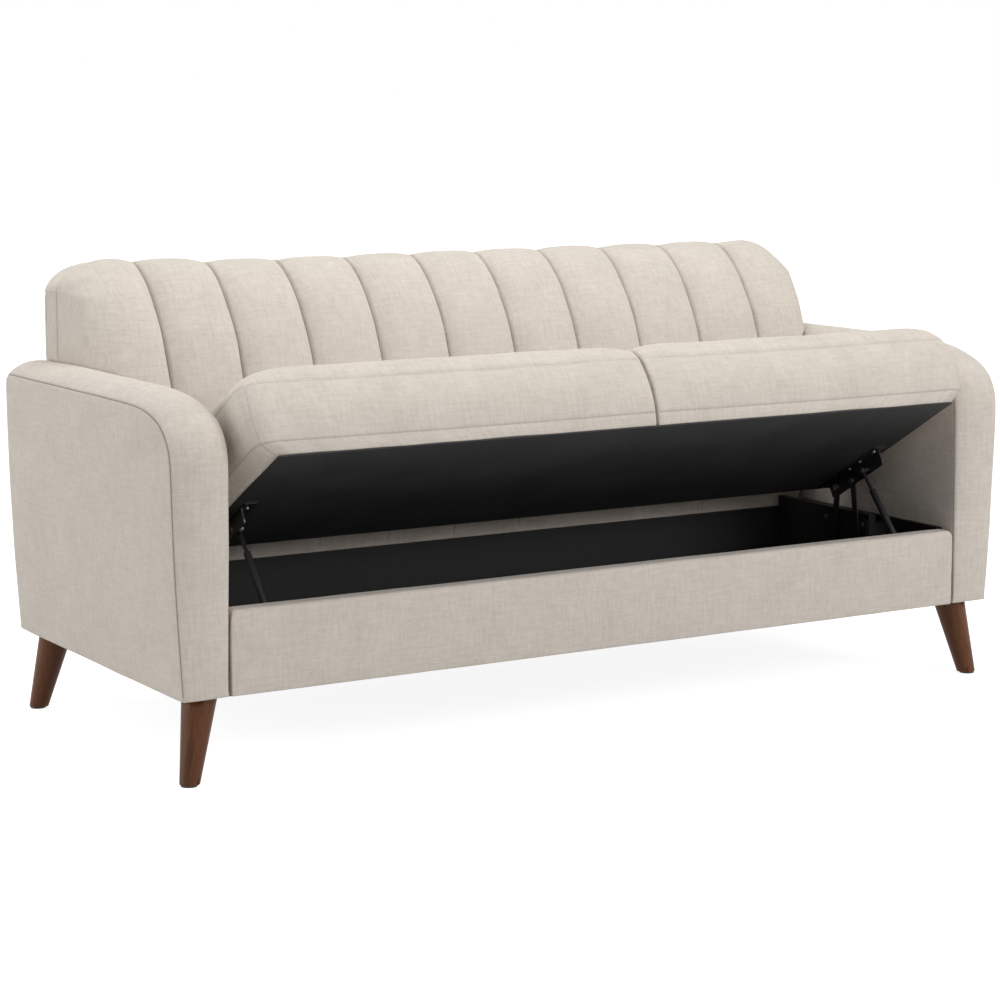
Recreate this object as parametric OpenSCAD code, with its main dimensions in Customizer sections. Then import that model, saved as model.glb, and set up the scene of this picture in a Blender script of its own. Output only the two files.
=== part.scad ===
// Storage sofa whose seat lifts on springs and tilts up, so that it opens the box below it.
// Millimetres, +Z up, the front faces -Y, and +X is the sitter's left side.
// The origin is on the floor, under the middle of the sofa with its seat open.

/* [Body] */
// Width over the arms at the base
body_w = 1850; // [1600:10:2200]
// Depth from the rail's face to the back's face
body_d = 780; // [760:5:860]
// Height of the underside above the floor
leg_h = 160; // [120:5:220]
// Height of the front rail
rail_h = 160; // [150:5:200]
// Thickness of the frame boards
board_t = 20; // [16:1:25]
// Thickness of the thin box panels
panel_t = 12; // [9:1:15]

/* [Arms] */
// Thickness of an arm at its base
arm_w = 90; // [80:2:130]
// Height of an arm's side panel, up to its seam
arm_h = 515; // [480:5:560]
// How far the outer side leans out at its top
arm_flare = 17; // [0:1:30]
// How far the outer side bows out between its foot and its top
arm_bow = 5; // [0:1:10]
// How far the inner side leans in at its top
arm_lean = 9; // [0:1:12]
// How far the padded edge strip stands proud of its two seams
arm_crown = 28; // [12:1:36]
// Depth of the sweep at an arm's front corner
sweep_d = 205; // [140:5:260]
// Height of the sweep at an arm's front corner
sweep_h = 120; // [80:5:180]
// Padding between an arm's faces and its wooden frame
arm_pad = 17; // [14:1:22]

/* [Back] */
// How far the back's top seam stands above the arms' seam
back_rise = 201; // [165:2:285]
// Depth of the back where it is fullest
back_depth = 315; // [290:5:330]
// How far the back reaches over each arm
back_lap = 18; // [8:1:40]
// Radius of the back's two upper corners
back_corner = 78; // [50:2:120]
// Number of sewn channels
channels = 11; // [7:2:15]
// How far a channel stands proud of its seams
channel_crown = 15; // [6:1:20]
// Thickness of the outside back panel
back_panel_t = 12; // [9:1:15]

/* [Seat] */
// How far the seat's panel reaches past the rail's face when it is closed
seat_overhang = 5; // [0:1:20]
// Gap between the closed seat's panel and the back
seat_rear_gap = 30; // [24:1:45]
// Gap between the closed seat and the front rail
seat_gap = 14; // [11:1:22]
// Gap between the seat's side seam and the arm
seat_side_gap = 30; // [24:1:50]
// Gap at the parting of the two cushions
seat_parting = 2; // [1:0.5:6]
// How far the parting lies to the left of the middle
parting_off = 39; // [0:1:60]
// Height of the lower front seam above the underside
lower_seam = 26; // [15:1:40]
// Height of the top seam above the underside
top_seam = 137; // [120:1:145]
// Rise of the crown above the top seam
seat_crown = 58; // [30:1:65]
// How far the border bows out between its two seams
border_bow = 9; // [2:1:11]
// How far the seams are drawn in between the corners
seam_draw = 4; // [0:0.5:8]

/* [Lift] */
// Tilt of the open seat in degrees
seat_tilt = 30.2; // [26:0.1:33]
// How far the seat's rear edge comes forward as it opens
lift_slide = 121; // [110:1:130]
// How far the seat's rear edge rises as it opens
lift_rise = 38; // [32:1:46]
// Reach of the rear link's foot below the middle of its path
rear_reach = 115; // [105:1:125]
// Reach of the front link's foot below the middle of its path
front_reach = 140; // [130:1:150]
// Thickness of the link bars
link_t = 3; // [2:0.5:4]
// Width of the link bars
link_w = 18; // [15:1:20]
// Radius of the pivot pins
pin_r = 4; // [3:0.5:5]
// Radius of the spring strut's tube
tube_r = 7; // [6:0.5:8]
// Radius of the spring strut's rod
rod_r = 4; // [3:0.5:5]

/* [Legs] */
// Radius of a leg at its top
leg_top_r = 32.5; // [22:0.5:34]
// Radius of a leg at its foot
leg_foot_r = 18; // [16:0.5:22]
// How far a foot stands out sideways from the leg's top
splay_x = 34; // [0:1:50]
// How far a foot stands out to the front or rear from the leg's top
splay_y = 24; // [0:1:36]

/* [Hidden] */

fabric = [0.80, 0.76, 0.71];
timber = [0.82, 0.68, 0.48];
walnut = [0.36, 0.19, 0.11];
black = [0.07, 0.07, 0.08];
steel = [0.14, 0.14, 0.15];
bright = [0.75, 0.76, 0.78];

$fn = 48;
// Length by which a cut runs past the face that it opens
overrun = 1;
// Clearance between a cover and what it goes round
touch_gap = 0.3;
// Radial clearance of a pin, bolt or screw in its bore
pin_play = 0.06;
// Thickness of pressed steel plates
sheet_t = 2.5;

// Planes of the body, which is centred on its own depth
front_face = -body_d / 2;
rear_face = body_d / 2;
half_w = body_w / 2;
arm_in = half_w - arm_w;
base_z = leg_h;
rail_top = base_z + rail_h;
arm_top = base_z + arm_h;
back_top = arm_top + back_rise;
panel_y = rear_face - back_panel_t;

// Both faces of an arm lean, so their places depend on the height
function inner_x(z) = arm_in - arm_lean * (z - base_z) / arm_h;
function outer_x(z) = let (rise = (z - base_z) / arm_h)
    half_w + arm_flare * rise + arm_bow * sin(180 * ramp(0, 1, rise));
box_half = inner_x(rail_top) - touch_gap;

function mix(a, b, share) = a + (b - a) * share;
function ramp(a, b, v) = max(0, min(1, (v - a) / (b - a)));
function total(v, i = 0) = i >= len(v) ? 0 : v[i] + total(v, i + 1);
function centre(ring) = [for (k = [0:2]) total([for (p = ring) p[k]]) / len(ring)];
function arc(c, r, a, b, steps) = [for (i = [0:steps]) c + r * [cos(mix(a, b, i / steps)),
    sin(mix(a, b, i / steps))]];

// A closed skin over rings of equally many points, capped at both ends by fans
module skin(rings, first_bulge = [0, 0, 0], last_bulge = [0, 0, 0], flip = false) {
    n = len(rings[0]);
    m = len(rings);
    caps = [centre(rings[0]) + first_bulge, centre(rings[m - 1]) + last_bulge];
    sides = [for (i = [0:m - 2], j = [0:n - 1]) let (a = i * n + j, b = i * n + (j + 1) % n)
        each [[a, a + n, b], [b, a + n, b + n]]];
    first = [for (j = [0:n - 1]) [m * n, j, (j + 1) % n]];
    last = [for (j = [0:n - 1]) [m * n + 1, (m - 1) * n + (j + 1) % n, (m - 1) * n + j]];
    faces = concat(sides, first, last);
    polyhedron(concat([for (r = rings) each r], caps),
        flip ? [for (f = faces) [f[2], f[1], f[0]]] : faces);
}

// An outline in Y and Z, given a thickness along X; a side of 1 is left and of -1 right
module flank(side, x, t) {
    translate([side > 0 ? x : -x - t, 0, 0]) rotate([90, 0, 90]) linear_extrude(t) children();
}
module cross_pin(side, at, x0, x1, r) {
    translate([side > 0 ? x0 : -x1, at[0], at[1]]) rotate([0, 90, 0]) cylinder(h = x1 - x0, r = r);
}
module block(x0, x1, y0, y1, z0, z1) {
    translate([min(x0, x1), y0, z0]) cube([abs(x1 - x0), y1 - y0, z1 - z0]);
}
module round_rect(x0, x1, y0, y1, r) {
    translate([x0 + r, y0]) square([x1 - x0 - 2 * r, y1 - y0]);
    translate([x0, y0 + r]) square([x1 - x0, y1 - y0 - 2 * r]);
    for (x = [x0 + r, x1 - r], y = [y0 + r, y1 - r]) translate([x, y]) circle(r);
}

// Seat: its rear lower edge, closed and open, and the depth between the back and the rail
closed_y = rear_face - back_depth - seat_rear_gap;
closed_z = rail_top + seat_gap;
open_y = closed_y - lift_slide;
open_z = closed_z + lift_rise;
seat_d = closed_y - front_face + seat_overhang;
seat_half = arm_in - seat_side_gap;

// A cushion's rings: the hem round the panel, the border between its seams, then the crown
seat_panel_t = 3;
panel_inset = 8;
hem_inset = 33;
hem_front = 2;
front_out = 12;
rear_out = 6;
rear_bow = 4;
cushion_r = 20;
crown_r = 60;
crown_front = 100;
crown_rear = 60;
crown_side = 66;
crown_parting = 36;
border_shares = [0, 0.3, 0.65, 1];
crown_angles = [22, 42, 60, 76, 90];
corner_steps = 4;
edge_steps = 5;

// Each ring is [height, front, rear, side, parting, corner radius, draw], measured on the seat
hem_ring = [seat_panel_t, seat_d + hem_front, hem_front, seat_half - hem_inset, 0, cushion_r / 2, 0];
border_rings = [for (share = border_shares) let (bow = sin(180 * share)) [
    mix(lower_seam, top_seam, share), seat_d + front_out + border_bow * bow, rear_out + rear_bow * bow,
    seat_half + border_bow * bow, 0, cushion_r, seam_draw * (1 - bow)]];
crown_rings = [for (a = crown_angles) let (in = 1 - cos(a)) [
    top_seam + seat_crown * sin(a), seat_d + front_out - crown_front * in, rear_out - crown_rear * in,
    seat_half - crown_side * in, crown_parting * in, cushion_r + crown_r * in, seam_draw * cos(a)]];
cushion_rings = concat([hem_ring], border_rings, crown_rings);

// The open seat reaches past the rail, so the body sits this far behind the origin
seat_front_y = min([for (r = cushion_rings) open_y - r[1] * cos(seat_tilt) + r[0] * sin(seat_tilt)]);
body_shift = -(seat_front_y + rear_face) / 2;
module in_body() { translate([0, body_shift, 0]) children(); }
module on_seat() { in_body() translate([0, open_y, open_z]) rotate([-seat_tilt, 0, 0]) children(); }

// Arms: a curved wooden frame inside a padded cover with a crowned strip round its edge
strip_shares = [0, 0.04, 0.13, 0.28, 0.5, 0.72, 0.87, 0.96, 1];
strip_power = 2.5;
rear_low_share = 0.2;
rear_strip_share = 0.9;
knee_strip_share = 0.55;
hem_strip_share = 0.15;
arm_rear_r = 22;
rear_steps = 2;
sweep_steps = 7;
// A power of 1 makes the sweep an ellipse, and a lower one fills its corner
sweep_power = 0.8;
outer_bulge = 4;
frame_w = 45;
sweep_y = front_face + sweep_d;
sweep_z = arm_top - sweep_h;

// A place on the sweep and its outward direction, from 0 degrees at its top to 90 at its front
function fuller(v, power) = pow(max(0, v), power);
function sweep_place(a) = [sweep_y - sweep_d * fuller(sin(a), sweep_power),
    sweep_z + sweep_h * fuller(cos(a), sweep_power)];
function sweep_normal(a) = let (out = [-sweep_h * fuller(sin(a), 2 - sweep_power),
    sweep_d * fuller(cos(a), 2 - sweep_power)]) out / norm(out);

// Each place on the edge is [y, z, outward y, outward z, share of the crown]
arm_edge = concat(
    [[rear_face, base_z, 0, 0, 0], [rear_face, mix(base_z, arm_top, 0.5), 0, 0, 0]],
    [for (i = [0:rear_steps]) let (a = 90 * i / rear_steps) [
        rear_face - arm_rear_r * (1 - cos(a)), arm_top - arm_rear_r * (1 - sin(a)), 0, 1,
        mix(rear_low_share, rear_strip_share, i / rear_steps)]],
    [for (share = [0.33, 0.67]) [mix(rear_face, sweep_y, share), arm_top, 0, 1, 1]],
    [for (i = [0:sweep_steps]) let (a = 90 * i / sweep_steps, at = sweep_place(a), out = sweep_normal(a))
        [at[0], at[1], out[0], out[1], mix(1, knee_strip_share, i / sweep_steps)]],
    [for (share = [0.33, 0.67, 1]) [front_face, mix(sweep_z, base_z, share), -1, 0,
        mix(knee_strip_share, hem_strip_share, share)]]);

function arm_ring(side, u) = [for (p = arm_edge)
    let (crown = arm_crown * p[4] * (1 - pow(abs(2 * u - 1), strip_power)))
    [side * mix(inner_x(p[1]), outer_x(p[1]), u), p[0] + p[2] * crown, p[1] + p[3] * crown]];
// The same outline drawn in all round, for the space inside the cover and the frame in it
function arm_inside(inset, low) = concat(
    [[rear_face - inset, low], [rear_face - inset, arm_top - inset]],
    [for (i = [0:sweep_steps]) let (a = 90 * i / sweep_steps) sweep_place(a) - inset * sweep_normal(a)],
    [[front_face + inset, low]]);
arm_core_x = arm_in + arm_pad;
arm_core_w = arm_w - arm_pad - arm_pad;

module arm_cover(side) {
    rings = [for (i = [0:len(strip_shares) - 1]) arm_ring(side, strip_shares[side > 0 ? i
        : len(strip_shares) - 1 - i])];
    color(fabric) in_body() difference() {
        skin(rings, side > 0 ? [0, 0, 0] : [-outer_bulge, 0, 0], side > 0 ? [outer_bulge, 0, 0] : [0, 0, 0]);
        flank(side, arm_core_x, arm_core_w) polygon(arm_inside(arm_pad, base_z - overrun));
    }
}

// Legs: tapered and splayed, on plates under the arms
leg_inset_x = 55;
leg_inset_y = 53;
leg_x = half_w - leg_inset_x;
leg_y = body_d / 2 - leg_inset_y;
glide_h = 3;
glide_r = 15;
plate_w = 66;
plate_l = 74;
plate_screw_inset = 7;
bolt_r = 4;
bolt_depth = 32;
bolt_up = 26;
screw_r = 2;
screw_head_r = 4;
screw_head_h = 1.6;
plate_z = base_z - sheet_t;

module leg_corners() {
    for (sx = [-1, 1], sy = [-1, 1]) translate([sx * leg_x, sy * leg_y, 0]) children();
}
module arm_frame(side) {
    core_in = arm_core_x + touch_gap;
    core_w = arm_core_w - 2 * touch_gap;
    edge = arm_pad + touch_gap;
    color(timber) in_body() difference() {
        union() {
            flank(side, core_in, core_w - panel_t) difference() {
                polygon(arm_inside(edge, base_z));
                polygon(arm_inside(edge + frame_w, base_z + frame_w));
            }
            flank(side, core_in + core_w - panel_t, panel_t) polygon(arm_inside(edge, base_z));
        }
        leg_corners() translate([0, 0, base_z - overrun])
            cylinder(h = bolt_up + 2 * overrun, r = bolt_r + pin_play);
    }
}
module leg(sx, sy) {
    run = norm([splay_x, splay_y]);
    axis = norm([run, leg_h]);
    slope = (leg_top_r - leg_foot_r) / axis;
    extra = leg_top_r;
    low_r = leg_foot_r - slope * extra;
    high_r = leg_top_r + slope * extra;
    color(walnut) in_body() difference() {
        intersection() {
            translate([sx * leg_x, sy * leg_y, plate_z]) rotate([0, 0, atan2(sy * splay_y, sx * splay_x)])
                rotate([0, -atan2(run, leg_h), 0]) translate([0, 0, -axis - extra])
                cylinder(h = axis + 2 * extra, r1 = low_r, r2 = high_r);
            block(-body_w, body_w, -body_d, body_d, glide_h, plate_z);
        }
        translate([sx * leg_x, sy * leg_y, plate_z - bolt_depth])
            cylinder(h = bolt_depth + overrun, r = bolt_r + pin_play);
    }
}
module leg_plates() {
    color(black) in_body() leg_corners() translate([0, 0, plate_z]) difference() {
        linear_extrude(sheet_t)
            round_rect(-plate_w / 2, plate_w / 2, -plate_l / 2, plate_l / 2, screw_head_r);
        translate([0, 0, -overrun]) {
            plate_holes() cylinder(h = sheet_t + 2 * overrun, r = screw_r + pin_play);
            cylinder(h = sheet_t + 2 * overrun, r = bolt_r + pin_play);
        }
    }
}
module plate_holes() {
    dx = plate_w / 2 - plate_screw_inset;
    dy = plate_l / 2 - plate_screw_inset;
    for (x = [-dx, dx], y = [-dy, dy]) translate([x, y, 0]) children();
}
module leg_plate_screws() {
    color(bright) in_body() leg_corners() translate([0, 0, plate_z]) plate_holes() {
        cylinder(h = sheet_t, r = screw_r);
        translate([0, 0, -screw_head_h]) cylinder(h = screw_head_h, r = screw_head_r);
    }
}
module leg_bolts() {
    color(bright) in_body() leg_corners() translate([0, 0, plate_z - bolt_depth])
        cylinder(h = bolt_depth + sheet_t + bolt_up, r = bolt_r);
}
module leg_glides() {
    color(black) in_body() for (sx = [-1, 1], sy = [-1, 1])
        translate([sx * (leg_x + splay_x), sy * (leg_y + splay_y), 0]) cylinder(h = glide_h, r = glide_r);
}

// Front rail: a board between the arms, under a padded cover that folds over its top
rail_pad = 10;
rail_top_pad = 8;
rail_flap_t = 6;
rail_flap_h = 20;
rail_edge_r = 6;
rail_corner_r = 14;
rail_steps = 6;
rail_board_y = front_face + rail_pad;
box_front = rail_board_y + board_t;
rail_rear = box_front + rail_flap_t;

module front_rail() {
    color(timber) in_body()
        block(-box_half, box_half, rail_board_y, box_front, base_z, rail_top - rail_top_pad);
}
module front_rail_cover() {
    low = inner_x(base_z) - touch_gap;
    corner = [box_half - rail_corner_r, rail_top - rail_corner_r];
    right = arc(corner, rail_corner_r, 0, 90, rail_steps);
    left = [for (i = [rail_steps:-1:0]) [-right[i][0], right[i][1]]];
    color(fabric) in_body() intersection() {
        flank(1, -half_w, body_w) difference() {
            round_rect(front_face, rail_rear, base_z - rail_edge_r, rail_top, rail_edge_r);
            translate([front_face - overrun, base_z - rail_edge_r - overrun])
                square([rail_rear - front_face + 2 * overrun, rail_edge_r + overrun]);
            translate([rail_board_y, base_z - overrun]) square([board_t, rail_h - rail_top_pad + overrun]);
            translate([box_front - overrun, base_z - overrun])
                square([rail_flap_t + 2 * overrun, rail_h - rail_flap_h + overrun]);
        }
        translate([0, rail_rear + overrun, 0]) rotate([90, 0, 0])
            linear_extrude(rail_rear - front_face + 2 * overrun)
            polygon(concat([[low, base_z]], right, left, [[-low, base_z]]));
    }
}

// Back: a wooden frame and board inside a channelled pad, closed by a flat outside panel
pad_low_drop = 20;
pad_low = rail_top - pad_low_drop;
lap_gap = 2;
lap_low = arm_top + arm_crown + lap_gap;
back_half = arm_in + back_lap;
end_wrap = 10.5;
channel_pitch = 2 * (back_half + end_wrap) / channels;
swell_power = 2.2;
channel_shares = [-1, -0.75, -0.3, 0.3, 0.75];
end_round = 72;
end_round_share = 0.27;
least_round_share = 0.08;
// Front outline from the foot up: [depth share, height share, share of the channel's crown]
profile_shares = [
    [0.863, 0, 0], [0.863, 0.027, 0], [0.885, 0.075, 0.2], [0.938, 0.146, 0.5], [0.984, 0.223, 0.8],
    [1, 0.285, 0.8], [0.984, 0.378, 0.9], [0.952, 0.464, 1], [0.911, 0.541, 1], [0.867, 0.61, 1],
    [0.771, 0.747, 1], [0.657, 0.851, 1], [0.543, 0.924, 0.9], [0.422, 0.976, 0.7], [0.318, 1, 0.3],
    [0.235, 1, 0]];
back_profile = [for (p = profile_shares) [rear_face - back_depth * p[0], mix(pad_low, back_top, p[1])]];
pad_foot_y = back_profile[0][0];
profile_last = len(back_profile) - 1;
profile_heights = [for (p = back_profile) [p[1], p[0]]];
low_count = total([for (p = back_profile) p[1] < lap_low ? 1 : 0]);

// How far the back stands proud at x, as a share, where 0 is on a channel's seam
function swell(x) = let (turn = abs(x) / channel_pitch + 0.5, v = 2 * (turn - floor(turn)) - 1)
    1 - pow(abs(v), swell_power);
function profile_normal(k) = let (d = back_profile[min(k + 1, profile_last)] - back_profile[max(k - 1, 0)])
    [-d[1], d[0]] / norm(d);
// A quarter round's height, from 1 down to 0 over the last r before the back's end
function quarter(x, r) = sqrt(1 - pow(ramp(back_half - r, back_half, abs(x)), 2));
function back_point(k, x) = let (
    p = back_profile[k] + channel_crown * profile_shares[k][2] * swell(x) * profile_normal(k),
    bend = back_top - back_corner,
    fall = max(least_round_share, quarter(x, back_corner)),
    y = mix(p[0], panel_y, end_round_share * (1 - quarter(x, end_round))))
    [y, p[1] > bend ? bend + (p[1] - bend) * fall : p[1]];
// Beyond the arm's face the pad only goes on above the arm, and its lower points lie on that edge
function lap_front(x) = mix(lookup(lap_low, profile_heights), panel_y,
    end_round_share * (1 - quarter(x, end_round)));
function lap_point(k, x) = k >= low_count ? back_point(k, x)
    : [mix(panel_y, lap_front(x), (k + 1) / (low_count + 1)), lap_low];
function back_ring(x, lap) = concat(
    [[x, panel_y, lap ? lap_low : pad_low]],
    [for (k = [0:profile_last]) let (p = lap ? lap_point(k, x) : back_point(k, x)) [x, p[0], p[1]]],
    [[x, panel_y, back_point(profile_last, x)[1]]]);
// The ring that meets the arms follows their leaning faces
function junction_ring(side) = let (x = inner_x(lap_low) - touch_gap)
    [for (p = back_ring(side * x, false)) [side * (inner_x(min(p[2], lap_low)) - touch_gap), p[1], p[2]]];
lap_start = inner_x(lap_low);
outer_seam = channel_pitch * (channels - 2) / 2;
end_shares = [0, 0.16, 0.42, 0.66, 0.86];
lap_shares = [0, 0.4, 0.75, 1];
inner_rings = [for (i = [-(channels - 3) / 2:(channels - 3) / 2], share = channel_shares)
    back_ring((i + share / 2) * channel_pitch, false)];
function side_rings(side) = concat(
    [for (share = end_shares) back_ring(side * mix(outer_seam, lap_start, share), false)],
    [junction_ring(side)],
    [for (share = lap_shares) back_ring(side * mix(lap_start, back_half, share), true)]);
function reversed(list) = [for (i = [len(list) - 1:-1:0]) list[i]];

back_core_y = 90;
back_core_end = 45;
back_core_top = 32;
core_front = rear_face - back_core_y;
core_half = arm_in - back_core_end;
core_top = back_top - back_core_top;

module back_pad() {
    color(fabric) in_body() difference() {
        skin(concat(reversed(side_rings(-1)), inner_rings, side_rings(1)), flip = true);
        block(-core_half, core_half, core_front, rear_face, pad_low - overrun, core_top);
    }
}
back_board_t = 6;
upright_w = 45;
upright_shares = [-1, -0.35, 0.35, 1];
top_rail_h = 60;
rear_rail_y = panel_y - board_t;
module back_board() {
    half = core_half - touch_gap;
    color(timber) in_body()
        block(-half, half, core_front, core_front + back_board_t, pad_low, core_top - touch_gap);
}
module back_frame() {
    half = core_half - touch_gap;
    front = core_front + back_board_t;
    top = core_top - touch_gap;
    color(timber) in_body() {
        for (share = upright_shares) let (x = share * (half - upright_w / 2))
            block(x - upright_w / 2, x + upright_w / 2, front, rear_rail_y, base_z, top);
        block(-half, half, front, panel_y, top - top_rail_h, top);
        block(-half, half, front, rear_rail_y, arm_top - top_rail_h, arm_top);
    }
}
module rear_rail() {
    color(timber) in_body() block(-box_half, box_half, rear_rail_y, panel_y, base_z, pad_low);
}
module back_panel() {
    corner = [back_half - back_corner, back_top - back_corner];
    beside_arm = [for (z = [base_z, lap_low]) [inner_x(z) - touch_gap, z]];
    right = concat(beside_arm, [[back_half, lap_low]], arc(corner, back_corner, 0, 90, rail_steps));
    left = [for (p = reversed(right)) [-p[0], p[1]]];
    color(fabric) in_body() translate([0, rear_face, 0]) rotate([90, 0, 0])
        linear_extrude(back_panel_t) polygon(concat(right, left));
}

// Storage box: a floor on bearers, two side walls, a back wall and two boards for the lift
bearer_w = 60;
bearer_shares = [-0.6, 0, 0.6];
floor_z = base_z + panel_t;
box_z = floor_z + panel_t;
wall_y = pad_foot_y - touch_gap - panel_t;
wall_in = box_half - panel_t;
side_wall_drop = 2;
back_wall_drop = 13;
hinge_inset = 83;
hinge_t = 18;
hinge_in = arm_in - hinge_inset;
hinge_front = 25;
bumper_h = 2.8;
bumper_r = 7;
bumper_gap = 0.2;
hinge_top = closed_z - bumper_h - bumper_gap;
spacer_l = 40;
cloth_t = 2;
cloth_inset = 12;
cloth_over = 1;

module floor_bearers() {
    color(timber) in_body() for (share = bearer_shares) let (x = share * box_half)
        block(x - bearer_w / 2, x + bearer_w / 2, box_front, rear_rail_y, base_z, base_z + panel_t);
}
module box_floor() {
    half = wall_in - touch_gap;
    color(black) in_body() block(-half, half, box_front, wall_y + panel_t, floor_z, box_z);
}
// A side wall is notched at its front, where the rail's cover folds over the rail
module box_wall(side) {
    rear = wall_y + panel_t;
    color(black) in_body() difference() {
        block(side * wall_in, side * box_half, box_front, rear, base_z, rail_top - side_wall_drop);
        block(side * (wall_in - overrun), side * (box_half + overrun), box_front - overrun,
            rail_rear + touch_gap, rail_top - rail_flap_h - touch_gap, rail_top);
    }
}
module box_back_wall() {
    half = wall_in - touch_gap;
    color(black) in_body()
        block(-half, half, wall_y, wall_y + panel_t, box_z, rail_top - back_wall_drop);
}
module hinge_board(side) {
    board_out = hinge_in + hinge_t;
    front = front_foot[0] - hinge_front;
    color(black) in_body() {
        block(side * hinge_in, side * board_out, front, wall_y, box_z, hinge_top);
        for (y = [front, wall_y - spacer_l])
            block(side * board_out, side * wall_in, y, y + spacer_l, box_z, rail_top - back_wall_drop);
    }
}
module seat_bumpers() {
    color(black) in_body() for (side = [-1, 1], y = [front_foot[0], wall_y - 2 * spacer_l])
        translate([side * (hinge_in + hinge_t / 2), y, hinge_top]) cylinder(h = bumper_h, r = bumper_r);
}
module underside_cloth() {
    x = arm_in + cloth_over;
    color(black) in_body()
        block(-x, x, front_face + cloth_inset, rear_face - cloth_inset, base_z - cloth_t, base_z);
}

// Seat: a wooden frame and deck under two cushions, closed below by a thin panel
frame_inset = 5;
frame_edge = 8;
seat_rail_w = 40;
seat_rail_h = 44;
deck_t = 9;
cross_shares = [-0.5, 0, 0.5];
seat_panel_half = seat_half - hem_inset - panel_inset;
seat_frame_half = seat_panel_half - frame_inset;
frame_top = seat_panel_t + seat_rail_h;
deck_top = frame_top + deck_t;
crown_dome = 3;

// One closed loop of a ring, seen from above and counted against the clock
function cushion_loop(side, ring) = let (
    near = parting_off + side * (seat_parting / 2 + ring[4]),
    x0 = side > 0 ? near : -ring[3], x1 = side > 0 ? ring[3] : near,
    y0 = -ring[1], y1 = ring[2], r = ring[5])
    [for (c = [0:3]) let (
        cx = [x1 - r, x0 + r, x0 + r, x1 - r], cy = [y1 - r, y1 - r, y0 + r, y0 + r],
        last = 90 * (c + 1), out = [cos(last), sin(last)],
        a = [cx[c], cy[c]] + r * out, b = [cx[(c + 1) % 4], cy[(c + 1) % 4]] + r * out)
        each concat(
            [for (i = [0:corner_steps]) let (t = 90 * (c + i / corner_steps))
                [cx[c] + r * cos(t), cy[c] + r * sin(t), ring[0]]],
            [for (i = [1:edge_steps - 1]) let (
                drawn = ring[6] * sin(180 * i / edge_steps), p = mix(a, b, i / edge_steps) - drawn * out)
                [p[0], p[1], ring[0]]])];

module seat_cushion(side) {
    color(fabric) on_seat() difference() {
        skin([for (ring = cushion_rings) cushion_loop(side, ring)], last_bulge = [0, 0, crown_dome]);
        block(-seat_frame_half - touch_gap, seat_frame_half + touch_gap, -seat_d + frame_edge - touch_gap,
            -frame_edge + touch_gap, seat_panel_t - overrun, deck_top + touch_gap);
    }
}
module seat_underside() {
    color(black) on_seat() block(-seat_panel_half, seat_panel_half, -seat_d, 0, 0, seat_panel_t);
}
module seat_frame() {
    front = -seat_d + frame_edge;
    color(timber) on_seat() {
        for (y = [front, -frame_edge - seat_rail_w])
            block(-seat_frame_half, seat_frame_half, y, y + seat_rail_w, seat_panel_t, frame_top);
        for (share = concat([-1], cross_shares, [1])) let (x = share * (seat_frame_half - seat_rail_w / 2))
            block(x - seat_rail_w / 2, x + seat_rail_w / 2, front, -frame_edge, seat_panel_t, frame_top);
    }
}
module seat_deck() {
    color(timber) on_seat()
        block(-seat_frame_half, seat_frame_half, -seat_d + frame_edge, -frame_edge, frame_top, deck_top);
}

// Lift: two links each side carry the seat forward as it tilts, and a spring strut helps
rear_pivot = [35, -12];
front_pivot = [90, -20];
strut_pivot = [148, -20];
strut_foot_in = 28;
strut_foot_drop = 24;

// Planes of the lift across the sofa, from the hinge board towards the middle
head_space = 3;
web_gap = 1;
web_t = 3;
head_r = 7;
head_h = 2.5;
stud_gap = 1;
stud_r = 6;
stud_h = 2;
eye_r = 8;
eye_side = 0.5;
eye_half = tube_r + eye_side;
strut_play = 0.1;
side_play = 0.1;
base_in = hinge_in - sheet_t;
link_out = base_in - head_space;
link_in = link_out - link_t;
web_out = link_in - web_gap;
web_in = web_out - web_t;
strut_out = web_in - stud_h - stud_gap;
strut_x = strut_out - eye_half;

// A place on the seat, at s forward of its rear edge and t above its panel, in Y and Z
function seat_place(p, tilt, y, z) = [y - p[0] * cos(tilt) + p[1] * sin(tilt),
    z + p[0] * sin(tilt) + p[1] * cos(tilt)];
function when_open(p) = seat_place(p, seat_tilt, open_y, open_z);
function when_closed(p) = seat_place(p, 0, closed_y, closed_z);
function link_foot(p, reach) = let (d = when_open(p) - when_closed(p))
    (when_open(p) + when_closed(p)) / 2 - reach * [d[1], -d[0]] / norm(d);
rear_foot = link_foot(rear_pivot, rear_reach);
front_foot = link_foot(front_pivot, front_reach);
strut_foot = [box_front + strut_foot_in, rail_top - strut_foot_drop];
strut_line = when_open(strut_pivot) - strut_foot;
strut_length = norm(strut_line);
strut_angle = atan2(strut_line[1], strut_line[0]);

// How far each edge of a link's bar steps in from its round ends
link_waist = 1;
module link_bar(side, a, b, bores) {
    d = b - a;
    flank(side, link_in, link_t) difference() {
        union() {
            translate(a) rotate(atan2(d[1], d[0])) translate([0, link_waist - link_w / 2])
                square([norm(d), link_w - 2 * link_waist]);
            translate(a) circle(link_w / 2);
            translate(b) circle(link_w / 2);
        }
        for (p = bores) translate(p) circle(pin_r + pin_play);
    }
}
module rear_link(side) {
    top = when_open(rear_pivot);
    color(steel) in_body() link_bar(side, rear_foot, top, [rear_foot, top]);
}
// The front link's upper end is solid and carries a rivet's head, because that pivot is left open
module front_link(side) {
    top = when_open(front_pivot);
    color(steel) in_body() {
        link_bar(side, front_foot, top, [front_foot]);
        cross_pin(side, top, link_out, link_out + head_h, head_r);
    }
}

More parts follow.
